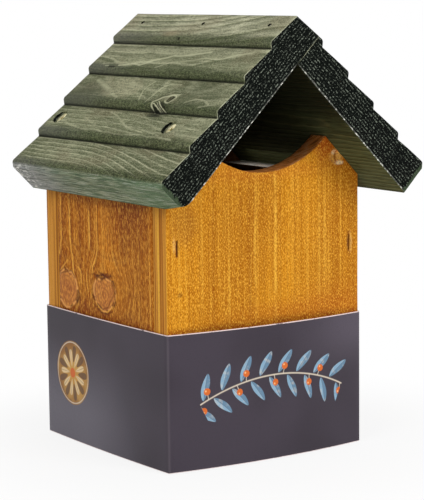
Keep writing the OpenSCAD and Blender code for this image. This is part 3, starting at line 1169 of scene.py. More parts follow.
class Solid:
    """A closed shape under construction, with the operators that shape it."""

    def __init__(self) -> None:
        """Starts with an empty mesh."""
        self.mesh = bmesh.new()

    @classmethod
    def prism(cls, outline: Iterable[Vector], way: Vector) -> "Solid":
        """Pulls a flat outline along a way.

        Args:
            outline: Corners in order round the outline.
            way: Direction and length of the pull.

        Returns:
            The solid.
        """
        solid = cls()
        face = solid.mesh.faces.new([solid.mesh.verts.new(corner) for corner in outline])
        return solid.pull([face], way)

    @classmethod
    def block(cls, low: Sequence[float], high: Sequence[float]) -> "Solid":
        """Makes a block between two corners.

        Args:
            low: Corner with the smallest x, y and z.
            high: Corner with the largest.

        Returns:
            The closed solid.
        """
        solid, low, high = cls(), Vector(low), Vector(high)
        made = bmesh.ops.create_cube(solid.mesh, size=1)
        bmesh.ops.scale(solid.mesh, vec=high - low, verts=made["verts"])
        bmesh.ops.translate(solid.mesh, vec=(high + low) / 2, verts=made["verts"])
        return solid

    @classmethod
    def cone(cls, low_radius: float, high_radius: float, low: float, high: float,
             segments: int = 48) -> "Solid":
        """Makes a cylinder or a cone round the z axis.

        Args:
            low_radius: Radius of the lower end.
            high_radius: Radius of the upper end.
            low: Height of the lower end.
            high: Height of the upper end.
            segments: Number of sides.

        Returns:
            The closed solid.
        """
        solid = cls()
        made = bmesh.ops.create_cone(solid.mesh, cap_ends=True, segments=segments,
                                     radius1=low_radius, radius2=high_radius, depth=high - low)
        bmesh.ops.translate(solid.mesh, vec=(0, 0, (high + low) / 2), verts=made["verts"])
        return solid

    @classmethod
    def lathe(cls, *profile: Place, steps: int = 40) -> "Solid":
        """Turns a profile round the z axis.

        Args:
            *profile: Radius and height of each point, from the axis round to the axis.
            steps: Number of sides.

        Returns:
            The closed solid.
        """
        solid = cls()
        points = [solid.mesh.verts.new((radius, 0, height)) for radius, height in profile]
        edges = [solid.mesh.edges.new(pair) for pair in zip(points, points[1:])]
        bmesh.ops.spin(solid.mesh, geom=points + edges, cent=(0, 0, 0), axis=AXES[2],
                       angle=math.tau, steps=steps, use_merge=True)
        return solid.weld().outward()

    def weld(self) -> "Solid":
        """Makes one vertex of those that lie together."""
        bmesh.ops.remove_doubles(self.mesh, verts=self.mesh.verts, dist=SAME)
        return self

    def outward(self) -> "Solid":
        """Turns every face's front outwards."""
        bmesh.ops.recalc_face_normals(self.mesh, faces=self.mesh.faces)
        return self

    def cleared(self) -> "Solid":
        """Takes out the faces that lie inside.

        Returns:
            The solid.
        """
        inside = [face for face in self.mesh.faces if all(len(edge.link_faces) > 2 for edge in face.edges)]
        bmesh.ops.delete(self.mesh, geom=inside, context="FACES_ONLY")
        return self

    def pull(self, faces: list[bmesh.types.BMFace], way: Vector) -> "Solid":
        """Extrudes faces along a way, and closes the solid behind them.

        Args:
            faces: Faces that are pulled.
            way: Direction and length of the pull.

        Returns:
            This solid.
        """
        pulled = bmesh.ops.extrude_face_region(self.mesh, geom=faces)["geom"]
        moved = [part for part in pulled if isinstance(part, bmesh.types.BMVert)]
        bmesh.ops.translate(self.mesh, vec=way, verts=moved)
        return self.outward()

    def data(self, name: str) -> bpy.types.Mesh:
        """Gives the shape as the data of an object.

        Args:
            name: Name of the mesh.

        Returns:
            The mesh.
        """
        made = bpy.data.meshes.new(name)
        self.mesh.to_mesh(made)
        return made

    def add(self, other: "Solid") -> "Solid":
        """Takes another solid's shells into this one.

        Args:
            other: Solid whose shells are copied.

        Returns:
            This solid.
        """
        held = other.data("held")
        self.mesh.from_mesh(held)
        bpy.data.meshes.remove(held)
        return self

    def turn(self, matrix: Matrix) -> "Solid":
        """Moves and turns the whole solid, and keeps its faces outwards where the matrix mirrors it.

        Args:
            matrix: The move.

        Returns:
            This solid.
        """
        bmesh.ops.transform(self.mesh, matrix=matrix, verts=self.mesh.verts)
        if matrix.determinant() < 0:
            bmesh.ops.reverse_faces(self.mesh, faces=self.mesh.faces)
        return self

    def bevel(self, chosen: Callable[[bmesh.types.BMEdge], bool], offset: float, segments: int) -> "Solid":
        """Rounds the edges that a rule picks.

        Args:
            chosen: Tells whether an edge is rounded.
            offset: How much of each face the round takes.
            segments: Number of faces in the round.

        Returns:
            This solid.
        """
        edges = [edge for edge in self.mesh.edges if chosen(edge)]
        bmesh.ops.bevel(self.mesh, geom=edges, offset=offset, offset_type="OFFSET", affect="EDGES",
                        segments=segments, profile=0.5, material=-1, clamp_overlap=True)
        return self

    def ease(self, offset: float, segments: int = 2) -> "Solid":
        """Takes the sharpness off every arris."""
        return self.bevel(lambda edge: len(edge.link_faces) == 2 and edge.calc_face_angle() > SHARP,
                          offset, segments)

    def score(self, spacing: float, *axes: Vector) -> "Solid":
        """Cuts the faces along planes square to each axis, so that they can be worked.

        Args:
            spacing: Distance between two planes, which is fitted to the solid.
            *axes: Unit vectors, in the order of the cuts.

        Returns:
            This solid.
        """
        for axis in axes:
            heights = [vertex.co.dot(axis) for vertex in self.mesh.verts]
            low, high = min(heights), max(heights)
            count = max(1, round((high - low) / spacing))
            for number in range(1, count):
                place = axis * (low + (high - low) * number / count)
                everything = self.mesh.verts[:] + self.mesh.edges[:] + self.mesh.faces[:]
                bmesh.ops.bisect_plane(self.mesh, geom=everything, dist=SAME, plane_co=place, plane_no=axis)
        return self

    def work(self, shift: Callable[[Vector], Vector]) -> "Solid":
        """Moves each vertex by what a rule gives for its place.

        Args:
            shift: Rule that gives the move for a place.

        Returns:
            The solid.
        """
        for vertex in self.mesh.verts:
            vertex.co += shift(vertex.co)
        return self

    def weather(self, depth: float, waves: Sequence[float], seed: float) -> "Solid":
        """Makes faces and arrises uneven, as sawn and planed timber is.

        Args:
            depth: Most that a place moves.
            waves: Number of waves in a metre along each axis.
            seed: Shift of the pattern.

        Returns:
            This solid.
        """
        stretch, away = Vector(waves), Vector((seed * 3.7, seed * 9.1, seed * 5.3))
        return self.work(lambda place: noise.noise_vector(place * stretch + away) * depth)

    def carve(self, *cutters: "Solid") -> "Solid":
        """Takes other solids away from this one.

        Args:
            *cutters: Solids that are cut away.

        Returns:
            This solid.
        """
        blank = placed("blank", self.data("blank"))
        tools = bpy.data.collections.new("tools")
        bpy.context.scene.collection.children.link(tools)
        for cutter in cutters:
            tools.objects.link(bpy.data.objects.new("tool", cutter.data("tool")))
        cut = blank.modifiers.new("cut", "BOOLEAN")
        cut.operation = "DIFFERENCE"
        cut.operand_type = "COLLECTION"
        cut.collection = tools
        cut.solver = "EXACT"
        bpy.context.view_layer.update()
        finished = blank.evaluated_get(bpy.context.evaluated_depsgraph_get()).to_mesh()
        self.mesh.clear()
        self.mesh.from_mesh(finished)
        for tool in list(tools.objects):
            bpy.data.meshes.remove(tool.data)
        bpy.data.collections.remove(tools)
        bpy.data.meshes.remove(blank.data)
        return self.weld()

    def piece(self, name: str, material: bpy.types.Material, slot: str, node: str,
              smooth: float = 32) -> bpy.types.Object:
        """Makes the finished piece, which rides on the box.

        Args:
            name: Name of the piece.
            material: Its finish.
            slot: Name of the record's material slot. It is not used.
            node: CAD node that it stands for.
            smooth: Largest angle in degrees that is shaded as a round.

        Returns:
            The piece.
        """
        data = self.data(name)
        self.mesh.free()
        data.polygons.foreach_set("use_smooth", [True] * len(data.polygons))
        data.set_sharp_from_angle(angle=math.radians(smooth))
        data.materials.append(material)
        made = placed(name, data)
        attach(made, BODY)
        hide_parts(node)
        log.info("%s: %d faces", name, len(data.polygons))
        return made


@dataclass(frozen=True)
class Fixings:
    """Sizes and shapes of the screws, nails and staples, in metres."""

    screw_length: float = 0.040
    screw_shank: float = 0.0045
    screw_tip: float = 0.0045
    head_rim: float = 0.0002
    recess: Point = (0.0023, 0.00045, 0.002)
    recess_taper: float = 0.35
    recess_turns: Place = (20, 110)
    thread_pitch: float = 0.0022
    thread_depth: float = 0.0005
    thread_root: float = 0.0002
    thread_half: float = 0.0004
    thread_top: float = 0.3
    thread_steps: int = 16
    nail_shank: float = 0.0016
    nail_length: float = 0.045
    nail_tip: float = 0.0015
    nail_head_thickness: float = 0.001
    staple_width: float = 0.009
    staple_wire: float = 0.0011
    staple_leg: float = 0.028
    staple_bend: float = 0.8
    slot_play: float = 0.0001
    slot_mouth: float = 0.003
    slot_grid: float = 0.0008
    punch: float = 0.0008

    def screw(self, head: float) -> Solid:
        """Makes a countersunk cross-head screw with its head's top at the origin.

        Args:
            head: Width of the head.

        Returns:
            The screw, pointing down.
        """
        radius, shank, rim = head / 2, self.screw_shank / 2, self.head_rim
        solid = Solid.lathe((0, 0), (radius - rim, 0), (radius, -rim), (shank, shank - radius),
                            (shank, self.screw_tip - self.screw_length), (0, -self.screw_length))
        long, wide, deep = self.recess
        for angle in self.recess_turns:
            slot = Solid.block((-long, -wide, -deep), (long, wide, deep / 2))
            slot.work(lambda at: Vector((-at.x * self.recess_taper, 0, 0)) if at.z < 0 else Vector())
            solid.carve(slot.turn(turned(angle, "Z")))
        return solid.add(self.thread(shank))

    def thread(self, shank: float) -> Solid:
        """Makes the thread of a screw as one long spin that sinks.

        Args:
            shank: Radius of the shank.

        Returns:
            The thread.
        """
        solid, root, half = Solid(), shank - self.thread_root, self.thread_half
        start = -self.screw_length * self.thread_top
        turns = int((self.screw_length * (1 - self.thread_top) - self.screw_tip) / self.thread_pitch)
        corners = ((root, start), (shank + self.thread_depth, start - half), (root, start - half * 2))
        face = solid.mesh.faces.new([solid.mesh.verts.new((x, 0, z)) for x, z in corners])
        bmesh.ops.spin(solid.mesh, geom=[face], cent=(0, 0, 0), axis=AXES[2], angle=math.tau * turns,
                       dvec=AXES[2] * (-self.thread_pitch / self.thread_steps),
                       steps=turns * self.thread_steps)
        return solid.outward()

    def nail(self, head: float) -> Solid:
        """Makes a nail with its head's top at the origin.

        Args:
            head: Width of the head.

        Returns:
            The nail, its tip downwards.
        """
        radius, shank, rim, thick = head / 2, self.nail_shank / 2, self.head_rim, self.nail_head_thickness
        return Solid.lathe((0, 0), (radius - rim / 2, 0), (radius, -rim), (radius, -thick), (shank, -thick),
                           (shank, self.nail_tip - self.nail_length), (0, -self.nail_length), steps=20)

    def staple(self) -> Solid:
        """Makes a staple of round wire, its crown's top at the origin and its legs downwards.

        Returns:
            The staple.
        """
        solid, wire = Solid(), self.staple_wire / 2
        bend, reach = self.staple_wire * self.staple_bend, self.staple_width / 2 - wire
        made = bmesh.ops.create_circle(solid.mesh, cap_ends=True, radius=wire, segments=12)
        bmesh.ops.translate(solid.mesh, vec=(-reach, 0, -self.staple_leg), verts=made["verts"])
        leg = Vector((0, 0, self.staple_leg - wire - bend))
        face = self.grow(solid.mesh, solid.mesh.faces[:][0], leg)
        face = self.bend(solid.mesh, face, (bend - reach, 0, -wire - bend))
        face = self.grow(solid.mesh, face, Vector((2 * (reach - bend), 0, 0)))
        face = self.bend(solid.mesh, face, (reach - bend, 0, -wire - bend))
        self.grow(solid.mesh, face, -leg)
        return solid.cleared().outward()

    def grow(self, mesh: bmesh.types.BMesh, face: bmesh.types.BMFace, way: Vector) -> bmesh.types.BMFace:
        """Lengthens a wire at its end face, and gives the new end face.

        Args:
            mesh: Mesh that holds the wire.
            face: End face of the wire.
            way: Direction and length of the new piece.

        Returns:
            The new end face.
        """
        pulled = bmesh.ops.extrude_face_region(mesh, geom=[face])["geom"]
        bmesh.ops.translate(mesh, vec=way, verts=[p for p in pulled if isinstance(p, bmesh.types.BMVert)])
        return next(part for part in pulled if isinstance(part, bmesh.types.BMFace))

    def bend(self, mesh: bmesh.types.BMesh, face: bmesh.types.BMFace, centre: Point) -> bmesh.types.BMFace:
        """Bends a wire a quarter turn round a centre, and gives the new end face."""
        spun = bmesh.ops.spin(mesh, geom=[face], cent=centre, axis=AXES[1], angle=math.pi / 2, steps=5)
        return next(part for part in spun["geom_last"] if isinstance(part, bmesh.types.BMFace))

    def staple_slot(self) -> Solid:
        """Makes the slot that a driven crown leaves, ragged at its mouth.

        Returns:
            The cutter.
        """
        half, wide = self.staple_width / 2 + self.slot_play, self.staple_wire / 2 + self.slot_play * 2
        slot = Solid.block((-half, -wide, -self.staple_wire), (half, wide, self.slot_mouth))
        slot.score(self.slot_grid, AXES[0])
        return slot.work(lambda place: noise.noise_vector(place * 900) * 0.00022)


@dataclass
class Walls:
    """The gable boards, the side boards and the floor."""

    sizes: BoxSizes
    roof: RoofSizes
    fixings: Fixings
    floor_low: float = 0.003
    floor_thickness: float = 0.014
    floor_staple_inset: float = 0.022
    side_gap: float = 0.0002
    drain_radius: float = 0.003
    drain_inset: float = 0.018
    hang_radius: float = 0.0035
    hang_drop: float = 0.030
    left_staples: Place = (0.038, 0.1275)
    right_staples: Place = (0.044, 0.1215)
    chip_run: float = 0.076
    chip_inset: float = 0.0032
    chip_radius: float = 0.007
    chip_depth: float = 0.0014
    sawn_depth: float = 0.00013
    sawn_waves: Point = (70, 70, 22)

    def gable(self, y: float) -> Solid:
        """Makes a gable board.

        Args:
            y: Place of its front face.

        Returns:
            The board.
        """
        s = self.sizes
        outline = ((-s.half_width, 0), (s.half_width, 0), (s.half_width, s.shoulder), (0, s.ridge_under),
                   (-s.half_width, s.shoulder))
        return Solid.prism([Vector((x, y, z)) for x, z in outline], AXES[1] * s.board)

    def scooped(self, y: float) -> Solid:
        """Makes the front board, whose top is scooped out between two peaks.

        Args:
            y: Place of its front face.

        Returns:
            The board.
        """
        s = self.sizes
        centre = s.scoop_low + s.scoop_radius
        above = s.ridge_under - centre
        reach = (above + math.sqrt(2 * s.scoop_radius ** 2 - above ** 2)) / 2
        solid = Solid()
        mesh = solid.mesh
        peak = mesh.verts.new((reach, y, s.ridge_under - reach))
        turn = math.pi - 2 * math.atan2(centre - peak.co.z, reach)
        bmesh.ops.spin(mesh, geom=[peak], cent=(0, y, centre), axis=AXES[1], angle=turn, steps=72)
        far = min(mesh.verts, key=lambda vertex: vertex.co.x)
        low = ((-s.half_width, s.shoulder), (-s.half_width, 0), (s.half_width, 0), (s.half_width, s.shoulder))
        chain = [far] + [mesh.verts.new((x, y, z)) for x, z in low] + [peak]
        for pair in zip(chain, chain[1:]):
            mesh.edges.new(pair)
        made = bmesh.ops.contextual_create(mesh, geom=mesh.edges[:])
        return solid.pull(made["faces"], AXES[1] * s.board)

    def staple_places(self) -> list[Matrix]:
        """Gives the places of the staples in the gable boards, crowns outwards.

        Returns:
            A matrix for each staple.
        """
        s, punch = self.sizes, self.fixings.punch
        across = s.half_width - s.board / 2
        faces = ((s.front + punch, turned(90, "X") @ turned(90, "Z")),
                 (s.back - punch, turned(-90, "X") @ turned(90, "Z")))
        return [Matrix.Translation((side.value * across, y, z)) @ lie
                for side, heights in zip(Side, (self.left_staples, self.right_staples))
                for z in heights for y, lie in faces]

    def floor_staple_places(self) -> list[Matrix]:
        """Gives the places of the staples that hold the floor.

        Returns:
            A matrix for each staple.
        """
        s, inset = self.sizes, self.sizes.board + self.floor_staple_inset
        across, z = s.half_width - self.fixings.punch, self.floor_low + self.floor_thickness / 2
        return [Matrix.Translation((side.value * across, y, z))
                @ turned(side.value * 90, "Y") @ turned(90, "Z")
                for side in Side for y in (s.front + inset, s.back - inset)]

    def slots(self, places: list[Matrix], axis: int, sign: float) -> list[Solid]:
        """Makes the slots of the staples whose places have a sign along an axis."""
        return [self.fixings.staple_slot().turn(at) for at in places if at.translation[axis] * sign > 0]

    def fitted(self, solid: Solid, seed: float, *cutters: Solid) -> Solid:
        """Eases a board's arrises, makes it uneven above its base and cuts what its fixings need.

        Args:
            solid: The plain board.
            seed: Shift of its unevenness.
            *cutters: Shapes that are cut away.

        Returns:
            The board.
        """
        solid.ease(self.sizes.arris).score(self.sizes.grid, *AXES)
        solid.weather(self.sawn_depth, self.sawn_waves, seed)
        solid.work(lambda place: Vector((0, 0, max(0.0, -place.z))))
        return solid.carve(*cutters) if cutters else solid

    def crater(self) -> Solid:
        """Makes the cutter of the spot beside the right slope where the wood has broken out.

        Returns:
            The cutter.
        """
        cutter = Solid()
        bmesh.ops.create_icosphere(cutter.mesh, subdivisions=4, radius=self.chip_radius)
        cutter.work(lambda place: noise.noise_vector(place * 420) * 0.0007)
        middle = self.roof.slope_point(self.chip_run, -self.chip_inset)
        middle.y = self.sizes.front + self.chip_depth - self.chip_radius
        return cutter.turn(Matrix.Translation(middle))

    def build(self) -> None:
        """Builds and dresses every wall board and the floor."""
        s, places = self.sizes, self.staple_places()
        front = self.fitted(self.scooped(s.front), 1, *self.slots(places, 1, -1), self.crater())
        front.piece("front_board", self.front_finish().material(), "honey_pine", "front_panel")
        hole = Solid.cone(self.hang_radius, self.hang_radius, -0.02, 0.02)
        hole.turn(Matrix.Translation((0, s.back, s.ridge_under - self.hang_drop)) @ turned(90, "X"))
        back = self.fitted(self.gable(s.back - s.board), 2, *self.slots(places, 1, 1), hole)
        back.piece("back_board", self.back_finish().material(), "brown_pine", "back_panel")
        for side in Side:
            board = Solid.block((s.half_width - s.board, s.front + s.board, 0),
                                (s.half_width, s.back - s.board, s.shoulder - self.side_gap))
            board.turn(Matrix.Diagonal((side.value, 1, 1, 1)))
            slots = self.slots(self.floor_staple_places(), 0, side.value)
            name = side.name.lower()
            self.fitted(board, 3 + side.value, *slots).piece(
                f"{name}_side_board", self.side_finish(side).material(), "brown_pine", f"{name}_side_panel")
        self.build_floor()

    def build_floor(self) -> None:
        """Builds the floor with its drain holes."""
        low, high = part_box("floor_panel")
        inset, radius = self.drain_inset, self.drain_radius
        drains = [Solid.cone(radius, radius, 0, high.z + 0.01, 32).turn(Matrix.Translation((x, y, 0)))
                  for x in (low.x + inset, high.x - inset) for y in (low.y + inset, high.y - inset)]
        floor = self.fitted(Solid.block(low, high), 6, *drains)
        floor.piece("floor_board", self.floor_finish().material(), "raw_pine", "floor_panel")

    def front_finish(self) -> WallFinish:
        """Gives the honey stain of the front board.

        Returns:
            The finish.
        """
        growth = Growth(ring=6.5, pith_across=70, pith_depth=60, wave=2.0, ripple=0.3, seed=1,
                        fleck=(2.1, 0.75))
        red, brown, slit, crack = (176, 88, 14), (150, 92, 30), (92, 26, 8), (150, 70, 16)
        halo, fresh = (240, 190, 112), (255, 232, 186)
        # The first two marks are painted shade above the sleeve, and the marks at heights 181, 178 and 167
        # are painted shade under the roof.
        marks = (Mark(30, 84, 48, 6, red, 0.6, 0.9), Mark(50, 90, 22, 9, red, 0.35, 0.9),
                 Mark(-56, 140, 9, 11, brown, 0.5), Mark(42, 181, 6, 9, (178, 72, 14), 0.7, 0.8),
                 Mark(-34, 178, 16, 5, (184, 96, 22), 0.5, 0.9),
                 Mark(0, 167, 44, 4, (190, 100, 26), 0.4, 0.9),
                 # The slit marks darken the staple slits: partly painted shade, partly stain pooled in them.
                 Mark(61.7, 121.5, 1.2, 5.5, halo, 0.5), Mark(60.3, 121.5, 1.3, 5.8, slit, 0.95),
                 Mark(-62.4, 129.5, 0.9, 4.5, halo, 0.5), Mark(-60.6, 127.5, 1.0, 4.8, slit, 0.85),
                 Mark(-59, 101.4, 1.6, 1.2, slit, 0.6), Mark(51.6, 173, 4.6, 4.6, (246, 192, 104), 0.6, 0.35),
                 Mark(53.4, 169.2, 2.8, 1.2, fresh, 0.9, 0.4), Mark(49.8, 175.4, 1.8, 1.4, fresh, 0.8, 0.4),
                 Mark(51.4, 172.4, 0.8, 2.6, crack, 0.8), Mark(48.0, 171.0, 0.7, 2.2, crack, 0.6))
        lines = ((7.2, 1.6, 0.75), (-7.0, 1.5, 0.55), (-10.6, 2.2, -0.6), (2.6, 1.1, 0.25),
                 (16, 1.2, 0.2), (-17, 2.0, -0.3), (24, 1.0, 0.25), (38, 1.3, -0.25), (46, 1.2, 0.2))
        # The end colour of the sawn faces is raised so that the scoop reads lit under the roof: partly
        # painted light.
        return WallFinish("honey_stain", growth, (205, 132, 14), (244, 186, 66), (144, 74, 0), across_x=True,
                          face=-1, line_share=0.12, late_share=0.15, fleck_share=0.66, stripe_share=0.42,
                          eave_shade=0.95, lines=lines, marks=marks, end_colour=(232, 142, 66))

    def back_finish(self) -> WallFinish:
        """Gives the brown stain of the back board.

        Returns:
            The finish.
        """
        growth = Growth(ring=5.0, pith_across=-12, pith_depth=-30, wave=3, ripple=0.6, seed=4,
                        knots=(Knot(112, 24, 8, 6.5), Knot(172, -16, 5, 4)))
        return WallFinish("brown_stain_back", growth, *BROWN, across_x=True, face=1)

    def side_finish(self, side: Side) -> WallFinish:
        """Gives the brown stain of a side board.

        Args:
            side: Which side board it is. The left one shows in the photograph.

        Returns:
            The finish.
        """
        # The sawn tops are pale raw wood, raised near white so that the right board's top reads lit through
        # the opening: partly painted light.
        dark, top = (112, 38, 6), (232, 226, 214)
        if side is Side.RIGHT:
            growth = Growth(ring=4.6, pith_across=-30, pith_depth=40, wave=4, ripple=0.5, seed=9,
                            knots=(Knot(124, 22, 6, 7),))
            return WallFinish("brown_stain_right", growth, *BROWN, across_x=False, face=1, end_colour=top)
        growth = Growth(ring=7.5, pith_across=12, pith_depth=-30, wave=1.6, ripple=0.3, seed=7,
                        fleck=(1.8, 0.5),
                        knots=(Knot(92.6, 59.0, 10.6, 11.2), Knot(94.0, 15.8, 9.3, 11.2, taper=0.2)))
        lines = ((65.3, 1.3, 0.8), (55.1, 1.4, 0.95), (50, 0.9, 0.5), (32.0, 1.4, 1.0), (22.8, 1.1, 0.85),
                 (7.0, 1.2, 0.95), (-2.0, 1.0, 0.5), (-22.5, 1.2, 0.9), (-34, 1.0, 0.6),
                 (3.5, 1.2, -0.6), (-7, 1.3, -0.6), (-10, 0.8, 0.45), (-13, 1.1, -0.6), (-16, 0.8, 0.4),
                 (-27, 1.3, -0.6), (-30, 0.8, 0.4), (43, 1.0, -0.5), (60, 1.0, -0.5), (37, 0.8, 0.4))
        # The first two marks darken the top of the board under the roof; the third is a dark strip above the
        # sleeve, partly stain and partly painted shade.
        marks = (Mark(-12, 150, 22, 28, dark, 0.85, 0.8), Mark(26, 157, 40, 9, dark, 0.8, 0.9),
                 Mark(34, 84, 44, 4.5, dark, 0.45, 0.8), Mark(-16, 100, 20, 34, (150, 92, 30), 0.4, 0.8),
                 Mark(15.5, 82.2, 5, 1.6, dark, 0.8), Mark(14, 105.5, 8, 1.3, dark, 0.7),
                 Mark(67.2, 101.5, 2.2, 3.0, dark, 0.8))
        return WallFinish("brown_stain_left", growth, (200, 116, 10), (246, 178, 72), (114, 48, 2),
                          across_x=False, face=-1, line_share=0.25, late_share=0.3, end_colour=top,
                          fleck_share=0.5, lines=lines, marks=marks,
                          streaks=REAR_KNOT_LINES + FRONT_KNOT_TOP_LINES + FRONT_KNOT_FOOT_LINES)

    def floor_finish(self) -> WallFinish:
        """Gives the bare timber of the floor.

        Returns:
            The finish.
        """
        growth = Growth(ring=3.6, pith_across=10, pith_depth=-25, wave=4, seed=12)
        return WallFinish("bare_timber", growth, (206, 172, 120), (226, 200, 156), (176, 134, 84),
                          across_x=True, face=-1)


@dataclass
class Roof:
    """The two lapped roof boards with their screws and ridge nails."""

    sizes: RoofSizes
    box: BoxSizes
    fixings: Fixings
    screw_offset: float = 0.0035
    nail_inset: float = 0.017
    screw_gap: float = 0.0003
    seat_gap: float = 0.0001
    wane_radius: float = 0.0075
    wane_length: float = 0.018
    sawn_depth: float = 0.00018
    sawn_waves: Point = (75, 20, 75)

    def place(self, side: Side, run: float, y: float, rise: float) -> Matrix:
        """Gives the place on a slope whose z axis points out of it.

        Args:
            side: Side of the roof.
            run: Distance down the slope from the ridge's underside.
            y: Distance along the ridge.
            rise: Height above the slope's underside.

        Returns:
            The place as a matrix.
        """
        at = self.sizes.slope_point(run, rise)
        return (Matrix.Translation((at.x * side.value, y, at.z))
                @ Matrix.Rotation(side.value * SLOPE, 4, "Y"))

    def screw_places(self, side: Side) -> list[Matrix]:
        """Gives the places of a slope's screws.

        Args:
            side: Which slope it is.

        Returns:
            A matrix for each screw.
        """
        s, half = self.sizes, self.box.board / 2
        rise = s.face_rise(s.screw_run) - s.screw_sink
        return [self.place(side, s.screw_run, y - self.screw_offset, rise)
                for y in (self.box.front + half, self.box.back - half)]

    def nail_places(self) -> list[Matrix]:
        """Gives the places of the ridge nails, on the left slope over the butt joint.

        Returns:
            A matrix for each nail.
        """
        s = self.sizes
        run = -s.seam_run() / math.cos(SLOPE) / 2
        rise = s.face_rise(run) - self.fixings.punch
        return [self.place(Side.LEFT, run, y, rise)
                for y in (s.front + self.nail_inset, (s.front + s.back) / 2, s.back - self.nail_inset)]

    def profile(self, side: Side) -> list[Vector]:
        """Gives a board's corners seen from the front, noses still sharp.

        Args:
            side: Which board it is. The left one runs over the end of the right one.

        Returns:
            The corners, in order round the board.
        """
        s, seam = self.sizes, self.sizes.seam_run()
        under = s.slope_point(0, 0)
        top = under + Vector((seam, 0, seam))
        steps = [corner for number in range(1, s.courses + 1) for corner in (s.nose(number), s.foot(number))]
        eave = s.slope_point(s.run_of(steps[-1]), 0)
        if side is Side.RIGHT:
            return [under, top, *steps, eave]
        fall = (s.nose(1) - s.foot(0)).normalized()
        apex = s.foot(0) - fall * (s.foot(0).x / fall.x)
        return [under, top, apex] + [Vector((-p.x, 0, p.z)) for p in (*steps, eave)]

    def board(self, side: Side) -> Solid:
        """Makes a board with rounded noses, eased arrises and uneven faces.

        Args:
            side: Which board it is.

        Returns:
            The board, still without holes.
        """
        s = self.sizes
        outline = [corner + Vector((0, s.front, 0)) for corner in self.profile(side)]
        solid = Solid.prism(outline, Vector((0, s.back - s.front, 0)))
        noses = [(s.nose(number).x * side.value, s.nose(number).z) for number in range(1, s.courses + 1)]

        def at_nose(edge: bmesh.types.BMEdge) -> bool:
            """Tells whether an edge is the sharp nose of a course.

            Args:
                edge: Edge of the board.

            Returns:
                True where it is.
            """
            start, end = (vertex.co for vertex in edge.verts)
            near = any(abs(start.x - x) + abs(start.z - z) < NEAR for x, z in noses)
            return near and abs(start.y - end.y) >= NEAR

        def at_end(edge: bmesh.types.BMEdge) -> bool:
            """Tells whether an edge lies round one of the board's sawn ends."""
            return any(all(abs(vertex.co.y - y) < NEAR for vertex in edge.verts) for y in (s.front, s.back))

        solid.bevel(at_nose, s.nose_radius / math.tan(math.radians(s.nose_angle / 2)), 5)
        solid.bevel(at_end, s.arris, 2)
        along = Vector((math.cos(SLOPE) * side.value, 0, -math.sin(SLOPE)))
        out = Vector((math.sin(SLOPE) * side.value, 0, math.cos(SLOPE)))
        solid.score(s.grid, AXES[1], along, out)
        if side is Side.LEFT:
            solid.work(self.wane)
        return solid.weather(self.sawn_depth, self.sawn_waves, 11 + side.value)

    def wane(self, place: Vector) -> Vector:
        """Gives how far the left eave's lower corner is worn round towards the front.

        Args:
            place: Place on the board.

        Returns:
            The shift of that place.
        """
        s, radius = self.sizes, self.wane_radius
        mirrored = Vector((-place.x, 0, place.z))
        inwards = radius - (s.run_of(s.foot(s.courses)) - s.run_of(mirrored))
        upwards = radius - s.rise_of(mirrored)
        if inwards <= 0 or upwards <= 0:
            return Vector()
        reach = math.hypot(inwards, upwards)
        worn = max(0.0, reach - radius) * (1 - min(1.0, max(0.0, place.y - s.front) / self.wane_length))
        back = s.slope_point(-inwards / reach, upwards / reach) - s.slope_point(0, 0)
        return Vector((-back.x, 0, back.z)) * worn

    def screw_hole(self, place: Matrix, seed: float) -> list[Solid]:
        """Makes the torn counterbore, the head's seat and the shank's hole of a screw.

        Args:
            place: Place of the screw's head.
            seed: Shift of the torn rim.

        Returns:
            The three cutters.
        """
        s, fix = self.sizes, self.fixings
        shank, head = fix.screw_shank / 2, s.screw_head / 2
        bore = Solid.cone(s.counterbore, s.counterbore, 0, 0.012, 40).score(0.001, AXES[2])
        away = Vector((seed, 0, 0))
        bore.work(lambda p: noise.noise_vector(p * 380 + away) * 0.0006 if p.z > 0 else Vector())
        seat = Solid.cone(shank + self.seat_gap, head + self.seat_gap, shank - head, self.seat_gap, 40)
        hole = Solid.cone(shank + self.screw_gap, shank + self.screw_gap, -fix.screw_length,
                          (shank - head) / 2, 24)
        return [part.turn(place) for part in (bore, seat, hole)]

    def build(self) -> None:
        """Builds and dresses both boards and what holds them."""
        s, fix = self.sizes, self.fixings
        zinc = MetalFinish("yellow_zinc_plate", (244, 238, 196), (196, 176, 112)).material()
        steel = MetalFinish("bright_steel_wire", (176, 174, 170), (112, 98, 84)).material()
        screws, nails = Solid(), Solid()
        radius = s.nail_head / 2 + self.seat_gap
        for side in Side:
            cutters = []
            for place in self.nail_places() if side is Side.LEFT else ():
                cutters.append(Solid.cone(radius, radius, -0.001, 0.006, 20).turn(place))
                nails.add(fix.nail(s.nail_head).turn(place))
            for number, place in enumerate(self.screw_places(side)):
                cutters += self.screw_hole(place, side.value + number * 3)
                screws.add(fix.screw(s.screw_head).turn(place))
            name = f"{side.name.lower()}_roof"
            board = self.board(side).carve(*cutters)
            board.piece(name, self.finish(side).material(), "green_pine", f"{name}_board")
        screws.piece("screws", zinc, "yellow_zinc", "roof_screws")
        nails.piece("nails", steel, "bright_wire", "ridge_nails")

